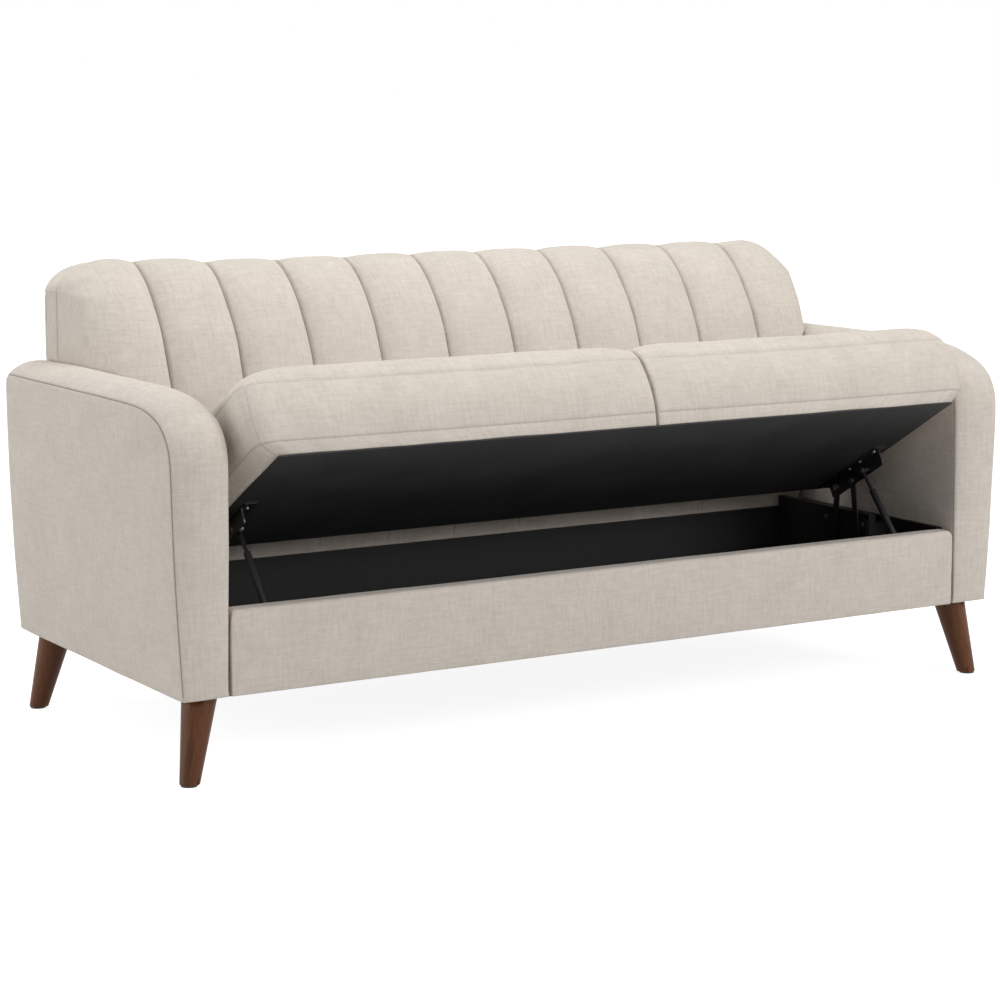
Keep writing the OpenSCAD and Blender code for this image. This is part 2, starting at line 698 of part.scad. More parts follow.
// Base plates: screwed to the hinge boards, with the two lower pivots
base_front = 21.5;
base_rear = 45;
base_low = 24;
base_top_drop = 9;
base_r = 8;
base_screw_inset = 13;
base_y0 = front_foot[0] - base_front;
base_y1 = rear_foot[0] + base_rear;
base_z0 = front_foot[1] - base_low;
base_z1 = hinge_top - base_top_drop;
base_screws = [[base_y0 + base_screw_inset, base_z1 - base_screw_inset],
    [base_y1 - base_screw_inset, base_z1 - base_screw_inset],
    [base_y1 - base_screw_inset, base_z0 + base_screw_inset]];

module base_plate(side) {
    color(steel) in_body() flank(side, base_in, sheet_t) difference() {
        round_rect(base_y0, base_y1, base_z0, base_z1, base_r);
        for (p = [rear_foot, front_foot]) translate(p) circle(pin_r + pin_play);
        for (p = base_screws) translate(p) circle(screw_r + pin_play);
    }
}
module base_pivot_pins() {
    color(bright) in_body() for (side = [-1, 1], p = [rear_foot, front_foot]) {
        cross_pin(side, p, link_in - side_play - head_h, link_in - side_play, head_r);
        cross_pin(side, p, link_in - side_play - head_h, hinge_in, pin_r);
        cross_pin(side, p, link_out + side_play, base_in, head_r);
    }
}

// Seat brackets: a flange under the seat's panel and a web that holds the upper pivots
web_drop = 32;
web_front = 205;
web_rear = 15;
flange_in = 23.5;
flange_front = 226;
flange_rear = 10;
bracket_screw_places = [202, 150, 111];
bracket_screw_in = 13;
flange_x = web_in - flange_in;
bracket_screw_x = flange_x + bracket_screw_in;

module seat_bracket(side) {
    color(steel) on_seat() difference() {
        union() {
            flank(side, web_in, web_t) difference() {
                round_rect(-web_front, -web_rear, -web_drop, base_r, base_r);
                translate([-web_front - overrun, 0]) square([web_front + overrun, base_r + overrun]);
            }
            block(side * flange_x, side * web_out, -flange_front, -flange_rear, -sheet_t, 0);
        }
        for (p = [rear_pivot, front_pivot, strut_pivot])
            cross_pin(side, [-p[0], p[1]], web_in - overrun, web_out + overrun, pin_r + pin_play);
        for (s = bracket_screw_places) translate([side * bracket_screw_x, -s, -sheet_t - overrun])
            cylinder(h = sheet_t + 2 * overrun, r = screw_r + pin_play);
    }
}
module bracket_screws() {
    color(bright) on_seat() for (side = [-1, 1], s = bracket_screw_places)
        translate([side * bracket_screw_x, -s, -sheet_t]) {
            cylinder(h = sheet_t, r = screw_r);
            translate([0, 0, -screw_head_h]) cylinder(h = screw_head_h, r = screw_head_r);
        }
}
// The rear pin runs through the link; the one at the front link ends flush in the web
module seat_pivot_pins() {
    rear = [-rear_pivot[0], rear_pivot[1]];
    front = [-front_pivot[0], front_pivot[1]];
    color(bright) on_seat() for (side = [-1, 1]) {
        cross_pin(side, rear, web_in - head_h, web_in, head_r);
        cross_pin(side, rear, web_in - head_h, link_out + side_play + head_h, pin_r);
        cross_pin(side, rear, web_out, link_in - side_play, stud_r);
        cross_pin(side, rear, link_out + side_play, link_out + side_play + head_h, stud_r);
        cross_pin(side, front, web_in - head_h, web_in, head_r);
        cross_pin(side, front, web_in - head_h, web_out, pin_r);
    }
}
module strut_studs() {
    at = [-strut_pivot[0], strut_pivot[1]];
    color(bright) on_seat() for (side = [-1, 1]) {
        cross_pin(side, at, web_in - stud_h, web_in, stud_r);
        cross_pin(side, at, web_in - stud_h, web_out, pin_r);
    }
}

// Spring struts: a tube with the spring inside, and a rod that it draws in
tube_start = 4;
tube_short = 53;
rod_start = 28;
tube_bore_start = 20;
foot_plate_h = 34;
foot_screw_inset = 8;
foot_t = 2.7;
foot_in = strut_x + eye_half + side_play;
foot_flange_in = strut_x - 2 * eye_half;
foot_low = strut_foot[1] - foot_plate_h;

module strut_frame(side) {
    translate([side * strut_x, strut_foot[0], strut_foot[1]]) rotate([strut_angle - 90, 0, 0]) children();
}
module strut_tube(side) {
    eye_in = strut_x - eye_half;
    eye_out = strut_x + eye_half;
    color(steel) in_body() difference() {
        union() {
            cross_pin(side, strut_foot, eye_in, eye_out, eye_r);
            strut_frame(side) translate([0, 0, tube_start])
                cylinder(h = strut_length - tube_short - tube_start, r = tube_r);
        }
        cross_pin(side, strut_foot, eye_in - overrun, eye_out + overrun, pin_r + pin_play);
        strut_frame(side) translate([0, 0, tube_bore_start])
            cylinder(h = strut_length, r = rod_r + strut_play);
    }
}
module strut_rod(side) {
    top = when_open(strut_pivot);
    color(steel) in_body() {
        strut_frame(side) translate([0, 0, rod_start]) cylinder(h = strut_length - rod_start, r = rod_r);
        cross_pin(side, top, strut_x - eye_half, strut_x + eye_half, eye_r);
    }
}
module strut_foot_bracket(side) {
    low = [box_front, foot_low];
    color(steel) in_body() difference() {
        union() {
            flank(side, foot_in, foot_t) {
                translate(low) square([strut_foot_in, foot_plate_h]);
                translate(strut_foot) circle(eye_r);
            }
            block(side * foot_flange_in, side * (foot_in + foot_t), box_front, box_front + sheet_t, foot_low,
                foot_low + foot_plate_h);
        }
        cross_pin(side, strut_foot, foot_in - overrun, foot_in + foot_t + overrun, pin_r + pin_play);
        foot_screw_places(side) cylinder(h = sheet_t + 2 * overrun, r = screw_r + pin_play, center = true);
    }
}
module foot_screw_places(side) {
    x = side * (foot_flange_in + foot_screw_inset);
    for (z = [foot_low + foot_screw_inset, foot_low + foot_plate_h - foot_screw_inset])
        translate([x, box_front + sheet_t / 2, z]) rotate([90, 0, 0]) children();
}
module strut_foot_pins() {
    head_out = strut_x - eye_half - side_play;
    color(bright) in_body() for (side = [-1, 1]) {
        cross_pin(side, strut_foot, head_out, foot_in + foot_t, pin_r);
        cross_pin(side, strut_foot, head_out - head_h, head_out, stud_r);
    }
}
module lift_screws() {
    color(bright) in_body() for (side = [-1, 1]) {
        for (p = base_screws) {
            cross_pin(side, p, base_in, hinge_in, screw_r);
            cross_pin(side, p, base_in - screw_head_h, base_in, screw_head_r);
        }
        foot_screw_places(side) {
            cylinder(h = sheet_t, r = screw_r, center = true);
            translate([0, 0, -sheet_t / 2 - screw_head_h]) cylinder(h = screw_head_h, r = screw_head_r);
        }
    }
}

arm_frame(1);  // left_arm_frame
arm_frame(-1);  // right_arm_frame
arm_cover(1);  // left_arm_cover
arm_cover(-1);  // right_arm_cover
front_rail();
front_rail_cover();
rear_rail();
floor_bearers();
box_floor();
box_wall(1);  // box_left_wall
box_wall(-1);  // box_right_wall
box_back_wall();
hinge_board(1);  // left_hinge_board
hinge_board(-1);  // right_hinge_board
back_frame();
back_board();
back_pad();
back_panel();
underside_cloth();
leg(1, -1);  // front_left_leg
leg(-1, -1);  // front_right_leg
leg(1, 1);  // rear_left_leg
leg(-1, 1);  // rear_right_leg
leg_plates();
leg_plate_screws();
leg_bolts();
leg_glides();
seat_frame();
seat_deck();
seat_cushion(1);  // left_seat_cushion
seat_cushion(-1);  // right_seat_cushion
seat_underside();
seat_bracket(1);  // left_seat_bracket
seat_bracket(-1);  // right_seat_bracket
bracket_screws();
seat_pivot_pins();
strut_studs();
base_plate(1);  // left_base_plate
base_plate(-1);  // right_base_plate
lift_screws();
base_pivot_pins();
seat_bumpers();
rear_link(1);  // left_rear_link
rear_link(-1);  // right_rear_link
front_link(1);  // left_front_link
front_link(-1);  // right_front_link
strut_foot_bracket(1);  // left_strut_foot
strut_foot_bracket(-1);  // right_strut_foot
strut_foot_pins();
strut_tube(1);  // left_strut_tube
strut_tube(-1);  // right_strut_tube
strut_rod(1);  // left_strut_rod
strut_rod(-1);  // right_strut_rod
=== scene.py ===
"""The looks of a storage sofa whose seat lifts and tilts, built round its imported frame.

Metres, +Z up, the front faces -Y, and +X is the sitter's left side.
"""
import math

import bmesh
import bpy
from mathutils import Matrix, Vector, noise


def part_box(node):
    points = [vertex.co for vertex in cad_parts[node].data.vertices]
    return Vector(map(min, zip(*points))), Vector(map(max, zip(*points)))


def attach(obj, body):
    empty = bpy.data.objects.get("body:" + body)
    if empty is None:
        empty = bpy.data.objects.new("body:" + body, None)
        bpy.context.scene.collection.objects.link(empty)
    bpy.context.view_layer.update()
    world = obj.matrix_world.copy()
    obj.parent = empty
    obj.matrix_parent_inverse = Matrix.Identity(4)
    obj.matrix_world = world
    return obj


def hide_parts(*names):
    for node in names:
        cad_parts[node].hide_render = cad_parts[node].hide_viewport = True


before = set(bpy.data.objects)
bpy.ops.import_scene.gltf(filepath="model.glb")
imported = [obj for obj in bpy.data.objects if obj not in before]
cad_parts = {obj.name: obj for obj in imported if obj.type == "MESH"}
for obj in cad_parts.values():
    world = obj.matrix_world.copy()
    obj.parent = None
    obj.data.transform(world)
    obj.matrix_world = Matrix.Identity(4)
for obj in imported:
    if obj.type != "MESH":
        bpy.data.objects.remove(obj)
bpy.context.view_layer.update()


# The camera stands off the sofa's right front corner, at about the height of the back.
camera_data = bpy.data.cameras.new("camera")
camera_data.lens = 97.09
camera_data.sensor_width = 36
camera = bpy.data.objects.new("camera", camera_data)
camera.location = (-2.851, -4.615, 1.237)
camera.rotation_euler = (math.radians(81.23), 0.001, math.radians(-31.2))
bpy.context.scene.collection.objects.link(camera)
bpy.context.scene.camera = camera
bpy.context.scene.view_settings.view_transform = "Standard"


# The frame is sawn pine boards, glued and stapled. The covers hide it, but for the front rail's
# inner face, which closes the open box in front.
def tone(red, green, blue):
    """A colour as it shows on a screen, from 0 to 255, turned into light values."""
    share = [c / 255 for c in (red, green, blue)]
    return [c / 12.92 if c < 0.04 else ((c + 0.055) / 1.055) ** 2.4 for c in share] + [1]


def put(tree, kind, *inputs, **options):
    """Adds a shader node. Options are its properties; inputs are values or sockets, in order."""
    made = tree.nodes.new("ShaderNode" + kind)
    for option, value in options.items():
        setattr(made, option, value)
    for place, value in enumerate(inputs):
        if isinstance(value, bpy.types.NodeSocket):
            tree.links.new(value, made.inputs[place])
        elif value is not None:
            made.inputs[place].default_value = value
    return made


def colour_mix(tree, share, first, second):
    """The colour that lies a share of the way from the first to the second."""
    made = put(tree, "Mix", share, data_type="RGBA")
    for socket, value in ((made.inputs[6], first), (made.inputs[7], second)):
        if isinstance(value, bpy.types.NodeSocket):
            tree.links.new(value, socket)
        else:
            socket.default_value = value
    return made.outputs[2]


def sums(tree, operation, *terms):
    """Folds values and sockets together with one operation."""
    result = terms[0]
    for term in terms[1:]:
        result = put(tree, "Math", result, term, operation=operation).outputs[0]
    return result


def spread(tree, value, low, high, to_low=0.0, to_high=1.0):
    """Stretches the stretch of a value from low to high over a new range."""
    return put(tree, "MapRange", value, low, high, to_low, to_high).outputs[0]


def streaks(tree, place, scale, detail=2.0):
    """Noise drawn out along the axes where its scale is small."""
    mapped = put(tree, "Mapping", place, None, None, scale).outputs[0]
    return put(tree, "TexNoise", mapped, None, 1.0, detail, 0.55).outputs[0]


def new_group(name, inputs, outputs):
    """A shader node group, with its own input and output nodes."""
    group = bpy.data.node_groups.new(name, "ShaderNodeTree")
    for label, kind in inputs:
        group.interface.new_socket(label, in_out="INPUT", socket_type="NodeSocket" + kind)
    for label, kind in outputs:
        group.interface.new_socket(label, in_out="OUTPUT", socket_type="NodeSocket" + kind)
    return group, group.nodes.new("NodeGroupInput"), group.nodes.new("NodeGroupOutput")


def finish_group(group, ends, **sockets):
    """Links a group's results to its outputs by name."""
    for label, socket in sockets.items():
        group.links.new(socket, ends.inputs[label])


SURFACE = [("Color", "Color"), ("Roughness", "Float"), ("Height", "Float")]


def new_material(name, group, place, values, bump_depth, **fixed):
    """A material whose colour, roughness and bump come from a group; fixed values sit on the shader."""
    material = bpy.data.materials.new(name)
    material.use_nodes = True
    tree = material.node_tree
    shader = tree.nodes["Principled BSDF"]
    for label, value in fixed.items():
        shader.inputs[label.replace("_", " ")].default_value = value
    used = tree.nodes.new("ShaderNodeGroup")
    used.node_tree = group
    tree.links.new(place(tree), used.inputs["Place"])
    for label, value in values.items():
        if callable(value):
            tree.links.new(value(tree), used.inputs[label])
        else:
            used.inputs[label].default_value = value
    tree.links.new(used.outputs["Color"], shader.inputs["Base Color"])
    tree.links.new(used.outputs["Roughness"], shader.inputs["Roughness"])
    bump = tree.nodes.new("ShaderNodeBump")
    bump.inputs["Distance"].default_value = bump_depth
    tree.links.new(used.outputs["Height"], bump.inputs["Height"])
    tree.links.new(bump.outputs["Normal"], shader.inputs["Normal"])
    return material


def on_object(turn=(0, 0, 0)):
    """Reads the piece's own metres, turned so that the pattern runs as it should."""
    def place(tree):
        own = put(tree, "TexCoord").outputs["Object"]
        return put(tree, "Mapping", own, None, [math.radians(a) for a in turn]).outputs[0]
    return place


def wood_grain():
    """Grain along Z: broad figure, fine pores, and bands that wander as growth rings do."""
    group, start, ends = new_group(
        "wood_grain", [("Place", "Vector"), ("Pale", "Color"), ("Deep", "Color"),
                       ("Roughness", "Float")], SURFACE)
    place = start.outputs["Place"]
    figure = streaks(group, place, (38, 38, 2.6), 4.0)
    pores = streaks(group, place, (900, 900, 24), 3.0)
    rings = put(group, "Math", figure, 46.0, operation="MULTIPLY").outputs[0]
    rings = put(group, "Math", rings, operation="SINE").outputs[0]
    mottle = sums(group, "ADD", spread(group, figure, 0.32, 0.68, 0, 0.55),
                  spread(group, rings, -1, 1, 0, 0.22), spread(group, pores, 0.35, 0.65, 0, 0.23))
    tint = colour_mix(group, mottle, start.outputs["Deep"], start.outputs["Pale"])
    rough = sums(group, "ADD", start.outputs["Roughness"], spread(group, pores, 0.3, 0.7, -0.06, 0.06))
    finish_group(group, ends, Color=tint, Roughness=rough, Height=pores)
    return group


def dress(names, material):
    """Gives CAD pieces a finish."""
    for name in names:
        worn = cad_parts[name].data.materials
        if worn:
            worn[0] = material
        else:
            worn.append(material)


grain = wood_grain()
pine = {"Pale": tone(214, 184, 138), "Deep": tone(178, 141, 96), "Roughness": 0.62}
dress(["left_arm_frame", "right_arm_frame", "back_frame"],
      new_material("pine_upright", grain, on_object(), pine, 0.0004))
dress(["front_rail", "rear_rail", "back_board", "seat_frame", "seat_deck"],
      new_material("pine_across", grain, on_object((0, 90, 0)), pine, 0.0004))
dress(["floor_bearers"], new_material("pine_lengthways", grain, on_object((90, 0, 0)), pine, 0.0004))


# The storage box is black melamine-faced board: floor, two side walls, a lower back wall,
# and a board at each side that the lift is screwed to. The film has a fine pebbled print.
def pebbled_film():
    """A plain film with a fine pebble, a slow change of gloss and a little dust."""
    group, start, ends = new_group(
        "pebbled_film", [("Place", "Vector"), ("Tint", "Color"), ("Dust", "Color"),
                         ("Pebble", "Float"), ("Roughness", "Float")], SURFACE)
    place = start.outputs["Place"]
    pebble = put(group, "TexNoise", place, None, start.outputs["Pebble"], 2.0, 0.5).outputs[0]
    haze = put(group, "TexNoise", place, None, 7.0, 4.0, 0.6).outputs[0]
    tint = colour_mix(group, spread(group, haze, 0.45, 0.8, 0, 0.5), start.outputs["Tint"],
                      start.outputs["Dust"])
    rough = sums(group, "ADD", start.outputs["Roughness"], spread(group, haze, 0.3, 0.7, -0.07, 0.07))
    finish_group(group, ends, Color=tint, Roughness=rough, Height=pebble)
    return group


film = pebbled_film()
board_black = new_material("board_black", film, on_object(), {
    "Tint": tone(21, 21, 21), "Dust": tone(29, 29, 29), "Pebble": 900.0, "Roughness": 0.55}, 0.0002,
    Specular_IOR_Level=0.3)
dress(["box_floor", "box_left_wall", "box_right_wall", "box_back_wall", "left_hinge_board",
       "right_hinge_board"], board_black)


# Each arm is a padded linen cover over its frame: two flat panels, joined by a crowned strip that
# follows the arm's edge from the rear, round the swept front corner, to the floor of the arm.
arm_in = 0.835
arm_t = 0.090
arm_lean = 0.009
arm_flare = 0.017
arm_bow = 0.005
arm_top = 0.675
arm_crown = 0.028
arm_rear_r = 0.022
sweep_d = 0.205
sweep_h = 0.120
sweep_power = 0.72
side_bulge = 0.004
foot_ease = 0.007
seam_reach = 0.0026
seam_depth = 0.0032
strip_power = 2.5
rear_low_share = 0.2
rear_crown_share = 0.9
knee_crown_share = 0.55
hem_crown_share = 0.15
crown_fade = 0.15
bulge_reach = 0.03
panel_seam_share = 0.5
strip_shares = (0.09, 0.2, 0.35, 0.5, 0.65, 0.8, 0.91)
arm_step = 0.032
# How far the cloth moves in and out, and how far apart its swells and ripples lie
arm_swell = (0.0014, 0.12)
arm_ripple = (0.0004, 0.035)

back_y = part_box("back_panel")[1].y
front_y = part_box("front_rail_cover")[0].y
base_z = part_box("front_rail")[0].z
# The legs' and the seat's places are measured from a line that lies this far before the back
back_line = 0.390
body_shift = back_y - back_line
# Two places closer than this are the same
touch = 1e-5


def stations(start, end, step):
    """Evenly spaced places strictly between two ends."""
    count = max(1, round((end - start) / step))
    return [start + (end - start) * k / count for k in range(1, count)]


def block_mesh(low, high):
    """A closed box between two corners."""
    bm = bmesh.new()
    bmesh.ops.create_cube(bm, size=1.0)
    low, high = Vector(low), Vector(high)
    bmesh.ops.scale(bm, vec=high - low, verts=bm.verts)
    bmesh.ops.translate(bm, vec=(low + high) / 2, verts=bm.verts)
    return bm


def slice_at(bm, axis, places):
    """Cuts the mesh across one axis at each place, without parting it."""
    for place in places:
        at = Vector([place if k == axis else 0 for k in range(3)])
        out = Vector([1 if k == axis else 0 for k in range(3)])
        bmesh.ops.bisect_plane(bm, geom=bm.verts[:] + bm.edges[:] + bm.faces[:], dist=1e-6,
                               plane_co=at, plane_no=out)


def lay_threads(bm):
    """Notes each face's place on the bolt of cloth, in metres, so that the weave follows the cover."""
    bm.normal_update()
    bolt = bm.loops.layers.uv.new("thread")
    for face in bm.faces:
        sideways = abs(face.normal.x) > max(abs(face.normal.y), abs(face.normal.z))
        for corner in face.loops:
            x, y, z = corner.vert.co
            corner[bolt].uv = (y, z) if sideways else (x, y + z)


def round_off(out_u, out_v):
    """Turns a place in a unit square's corner into one in a quarter circle, where 1 is the edge."""
    reach = max(out_u, out_v)
    far = math.hypot(out_u, out_v)
    return (out_u * reach / far, out_v * reach / far) if far else (0.0, 0.0)


def near(a, b):
    """Whether two places are the same."""
    return abs(a - b) < touch


def clamp(value):
    """Keeps a share between 0 and 1."""
    return max(0.0, min(1.0, value))


def mix(first, second, share):
    """The value that lies a share of the way from the first to the second."""
    return first + (second - first) * share


def rumple(bm, *waves):
    """Moves a cover in and out a little, as hand-pulled cloth over foam lies.

    Each wave is how far it moves the cloth, how far apart its swells lie, and its own seed.
    """
    bm.normal_update()
    moves = [v.normal * sum(amount * noise.noise(v.co / reach + Vector((seed, seed, seed)))
                            for amount, reach, seed in waves) for v in bm.verts]
    for vert, move in zip(bm.verts, moves):
        vert.co += move


def make_piece(bm, name, material, levels=0):
    """Turns a bmesh into a smooth object with its own material."""
    mesh = bpy.data.meshes.new(name)
    bm.to_mesh(mesh)
    bm.free()
    mesh.materials.append(material)
    for face in mesh.polygons:
        face.use_smooth = True
    made = bpy.data.objects.new(name, mesh)
    bpy.context.scene.collection.objects.link(made)
    if levels:
        rounding = made.modifiers.new("rounding", "SUBSURF")
        rounding.levels = levels
        rounding.render_levels = levels
    return made


def upholster(bm, name, levels, body, node):
    """A padded linen piece that stands for a CAD piece and moves with its body."""
    made = make_piece(bm, name, linen, levels)
    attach(made, body)
    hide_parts(node)


def linen_weave():
    """Slubby linen: fine crossed threads, uneven slubs both ways, a slow change of tone, and painted shade
    along the seams.
    """
    group, start, ends = new_group(
        "linen_weave", [("Place", "Vector"), ("Seam", "Float"), ("Pale", "Color"),
                        ("Deep", "Color"), ("Shade", "Color"), ("Roughness", "Float")], SURFACE)
    place = start.outputs["Place"]
    slubs = [streaks(group, place, scale, 3.0)
             for scale in ((22, 150, 1), (150, 22, 1), (60, 700, 1), (700, 60, 1))]
    cloud = put(group, "TexNoise", place, None, 9.0, 4.0, 0.6).outputs[0]
    tint_share = sums(group, "ADD", *[spread(group, s, 0.34, 0.66, 0, 0.21) for s in slubs],
                      spread(group, cloud, 0.35, 0.65, 0, 0.16))
    split = put(group, "SeparateXYZ", place)
    threads = []
    for way in (0, 1):
        turn = put(group, "Math", split.outputs[way], 4600.0, operation="MULTIPLY").outputs[0]
        threads.append(put(group, "Math", turn, operation="SINE").outputs[0])
    weave = sums(group, "MULTIPLY", *threads)
    height = sums(group, "ADD", spread(group, weave, -1, 1, 0, 0.45),
                  *[spread(group, s, 0.3, 0.7, 0, 0.3) for s in slubs])
    cloth = colour_mix(group, tint_share, start.outputs["Deep"], start.outputs["Pale"])
    # Painted shade: the seam attribute darkens the cloth into a shadowed line along each seam.
    line = put(group, "Math", start.outputs["Seam"], 2.2, operation="POWER").outputs[0]
    tint = colour_mix(group, line, cloth, start.outputs["Shade"])
    rough = sums(group, "ADD", start.outputs["Roughness"], spread(group, cloud, 0.3, 0.7, -0.04, 0.04))
    finish_group(group, ends, Color=tint, Roughness=rough, Height=height)
    return group


def on_cloth(tree):
    """Reads the place on the bolt of cloth."""
    return put(tree, "UVMap", uv_map="thread").outputs[0]


def read_seam_shade(tree):
    """Reads how much painted shade lies along a sewn seam, from 0 to 1 on it."""
    return put(tree, "Attribute", attribute_name="seam").outputs["Fac"]


# The linen's seam colour is painted shade, laid along the seams by their attribute.
linen = new_material("linen", linen_weave(), on_cloth, {
    "Seam": read_seam_shade, "Pale": tone(221, 212, 202), "Deep": tone(188, 179, 168),
    "Shade": tone(112, 103, 94), "Roughness": 0.88}, 0.0005,
    Sheen_Weight=0.12, Sheen_Roughness=0.5, Specular_IOR_Level=0.25)


def arm_side_x(z):
    """Where an arm's inner and outer faces stand at a height."""
    rise = (z - base_z) / (arm_top - base_z)
    outer = arm_in + arm_t + arm_flare * rise + arm_bow * math.sin(math.pi * clamp(rise))
    return arm_in - arm_lean * rise, outer


def strip_rise(across):
    """The strip's crown across an arm, as a share, from 0 at its seams to 1 in the middle."""
    return 1 - abs(2 * across - 1) ** strip_power


def arm_edge_place(y, z):
    """Rounds an arm's upper corners. Gives the place, the way out and the share of the crown."""
    turn_y, turn_z = front_y + sweep_d, arm_top - sweep_h
    rear_y, rear_z = back_y - arm_rear_r, arm_top - arm_rear_r
    if y < turn_y and z > turn_z:
        u, v = round_off((turn_y - y) / sweep_d, (z - turn_z) / sweep_h)
        far = math.hypot(u, v)
        u, v = u / far, v / far
        out = Vector((-sweep_h * u ** (2 - sweep_power), sweep_d * v ** (2 - sweep_power))).normalized()
        share = mix(1, knee_crown_share, math.atan2(u, v) / (math.pi / 2))
        return (turn_y - sweep_d * far * u ** sweep_power, turn_z + sweep_h * far * v ** sweep_power,
                out, share)
    if y > rear_y and z > rear_z:
        u, v = round_off((y - rear_y) / arm_rear_r, (z - rear_z) / arm_rear_r)
        share = mix(rear_crown_share, rear_low_share, math.atan2(u, v) / (math.pi / 2))
        return rear_y + arm_rear_r * u, rear_z + arm_rear_r * v, Vector((0, 1)), share
    if z > turn_z:
        return y, z, Vector((0, 1)), mix(rear_crown_share, 1, clamp((rear_y - y) / crown_fade))
    run = (turn_z - z) / (turn_z - base_z)
    return y, z, Vector((-1, 0)), mix(knee_crown_share, hem_crown_share, run)


def cover_arm(side, name):
    """One arm's cover; a side of 1 is left and of -1 right."""
    bm = block_mesh((0, front_y, base_z), (arm_t, back_y, arm_top))
    edge = seam_reach
    turn_y, turn_z = front_y + sweep_d, arm_top - sweep_h
    rear_y, rear_z = back_y - arm_rear_r, arm_top - arm_rear_r
    slice_at(bm, 0, [edge, arm_t - edge] + [arm_t * s for s in strip_shares])
    slice_at(bm, 1, [front_y + edge, back_y - edge, back_y - arm_rear_r / 2, rear_y, turn_y]
             + stations(front_y, turn_y, arm_step) + stations(turn_y, rear_y, arm_step))
    slice_at(bm, 2, [base_z + foot_ease, arm_top - edge, arm_top - arm_rear_r / 2, rear_z, turn_z]
             + stations(turn_z, rear_z, arm_step / 2) + stations(base_z, turn_z, arm_step))
    lay_threads(bm)
    seam = bm.verts.layers.float.new("seam")
    for vert in bm.verts:
        x, y, z = vert.co
        on_side = near(x, 0) or near(x, arm_t)
        behind = near(y, back_y)
        on_strip = near(y, front_y) or near(z, arm_top) or (behind and z > rear_z - touch)
        inside = min(y - front_y, back_y - y, arm_top - z)
        y, z, out, share = arm_edge_place(y, z)
        across = x / arm_t
        crown = arm_crown * share * strip_rise(across) if on_strip else 0.0
        sunk = 0.0
        if (on_strip or behind) and on_side and z > base_z + touch:
            # Painted shade darkens this seam in full, as well as sinking it.
            vert[seam] = 1.0
            sunk = seam_depth
        reach = crown - (sunk if on_strip else 0.0)
        y += out[0] * reach
        z += out[1] * reach
        inner, outer = arm_side_x(z)
        bulge = side_bulge * (1 - math.exp(-inside / bulge_reach)) if on_side else 0.0
        x = mix(inner, outer, across)
        if near(across, 1):
            x += bulge - sunk * panel_seam_share
        elif near(across, 0):
            x += sunk * panel_seam_share
        vert.co = (side * x, y, z)
    if side < 0:
        bmesh.ops.reverse_faces(bm, faces=bm.faces)
    rumple(bm, (*arm_swell, 3.0 + side), (*arm_ripple, 8.0 + side))
    upholster(bm, name + "_linen", 2, "body", name + "_cover")


for side, name in ((1, "left_arm"), (-1, "right_arm")):
    cover_arm(side, name)


# The front rail's cover is one strip of padded linen, pulled over the board, folded down behind
# it and stapled. Its upper corners are rounded where they meet the arms.
rail_settle = 0.004
board_gap = 0.0003
rail_flap_h = 0.020
rail_edge_r = 0.007
rail_corner_r = 0.014
rail_bulge = 0.003
rail_bulge_reach = 0.02
rail_lip = 0.0006
rail_step = 0.05
rail_rise_shares = (0.02, 0.12, 0.3, 0.5, 0.7, 0.88, 0.97)
rail_end_shares = (0.0, 0.25, 0.5, 0.75, 1.0)
rail_swell = (0.0008, 0.07)

rail_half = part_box("front_rail")[1].x
rail_flap_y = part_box("front_rail_cover")[1].y
rail_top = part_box("front_rail_cover")[1].z - rail_settle
board_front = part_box("front_rail")[0].y
board_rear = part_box("front_rail")[1].y
board_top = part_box("front_rail")[1].z + board_gap


def arc(centre, reach, start, end, steps):
    """Places along an arc, its angles in degrees."""
    turns = [math.radians(start + (end - start) * k / steps) for k in range(steps + 1)]
    return [(centre[0] + reach * math.cos(a), centre[1] + reach * math.sin(a)) for a in turns]


def sweep_outline(outline, places):
    """A closed outline in Y and Z, carried along X through each place and closed at both ends."""
    bm = bmesh.new()
    ring = [bm.verts.new((places[0], y, z)) for y, z in outline]
    edges = [bm.edges.new((a, b)) for a, b in zip(ring, ring[1:] + ring[:1])]
    for a, b in zip(places, places[1:]):
        made = bmesh.ops.extrude_edge_only(bm, edges=edges)["geom"]
        edges = [g for g in made if isinstance(g, bmesh.types.BMEdge)
                 and all(v in made for v in g.verts)]
        verts = [g for g in made if isinstance(g, bmesh.types.BMVert)]
        bmesh.ops.translate(bm, vec=(b - a, 0, 0), verts=verts)
    bmesh.ops.holes_fill(bm, edges=[e for e in bm.edges if e.is_boundary], sides=0)
    bmesh.ops.recalc_face_normals(bm, faces=bm.faces)
    return bm


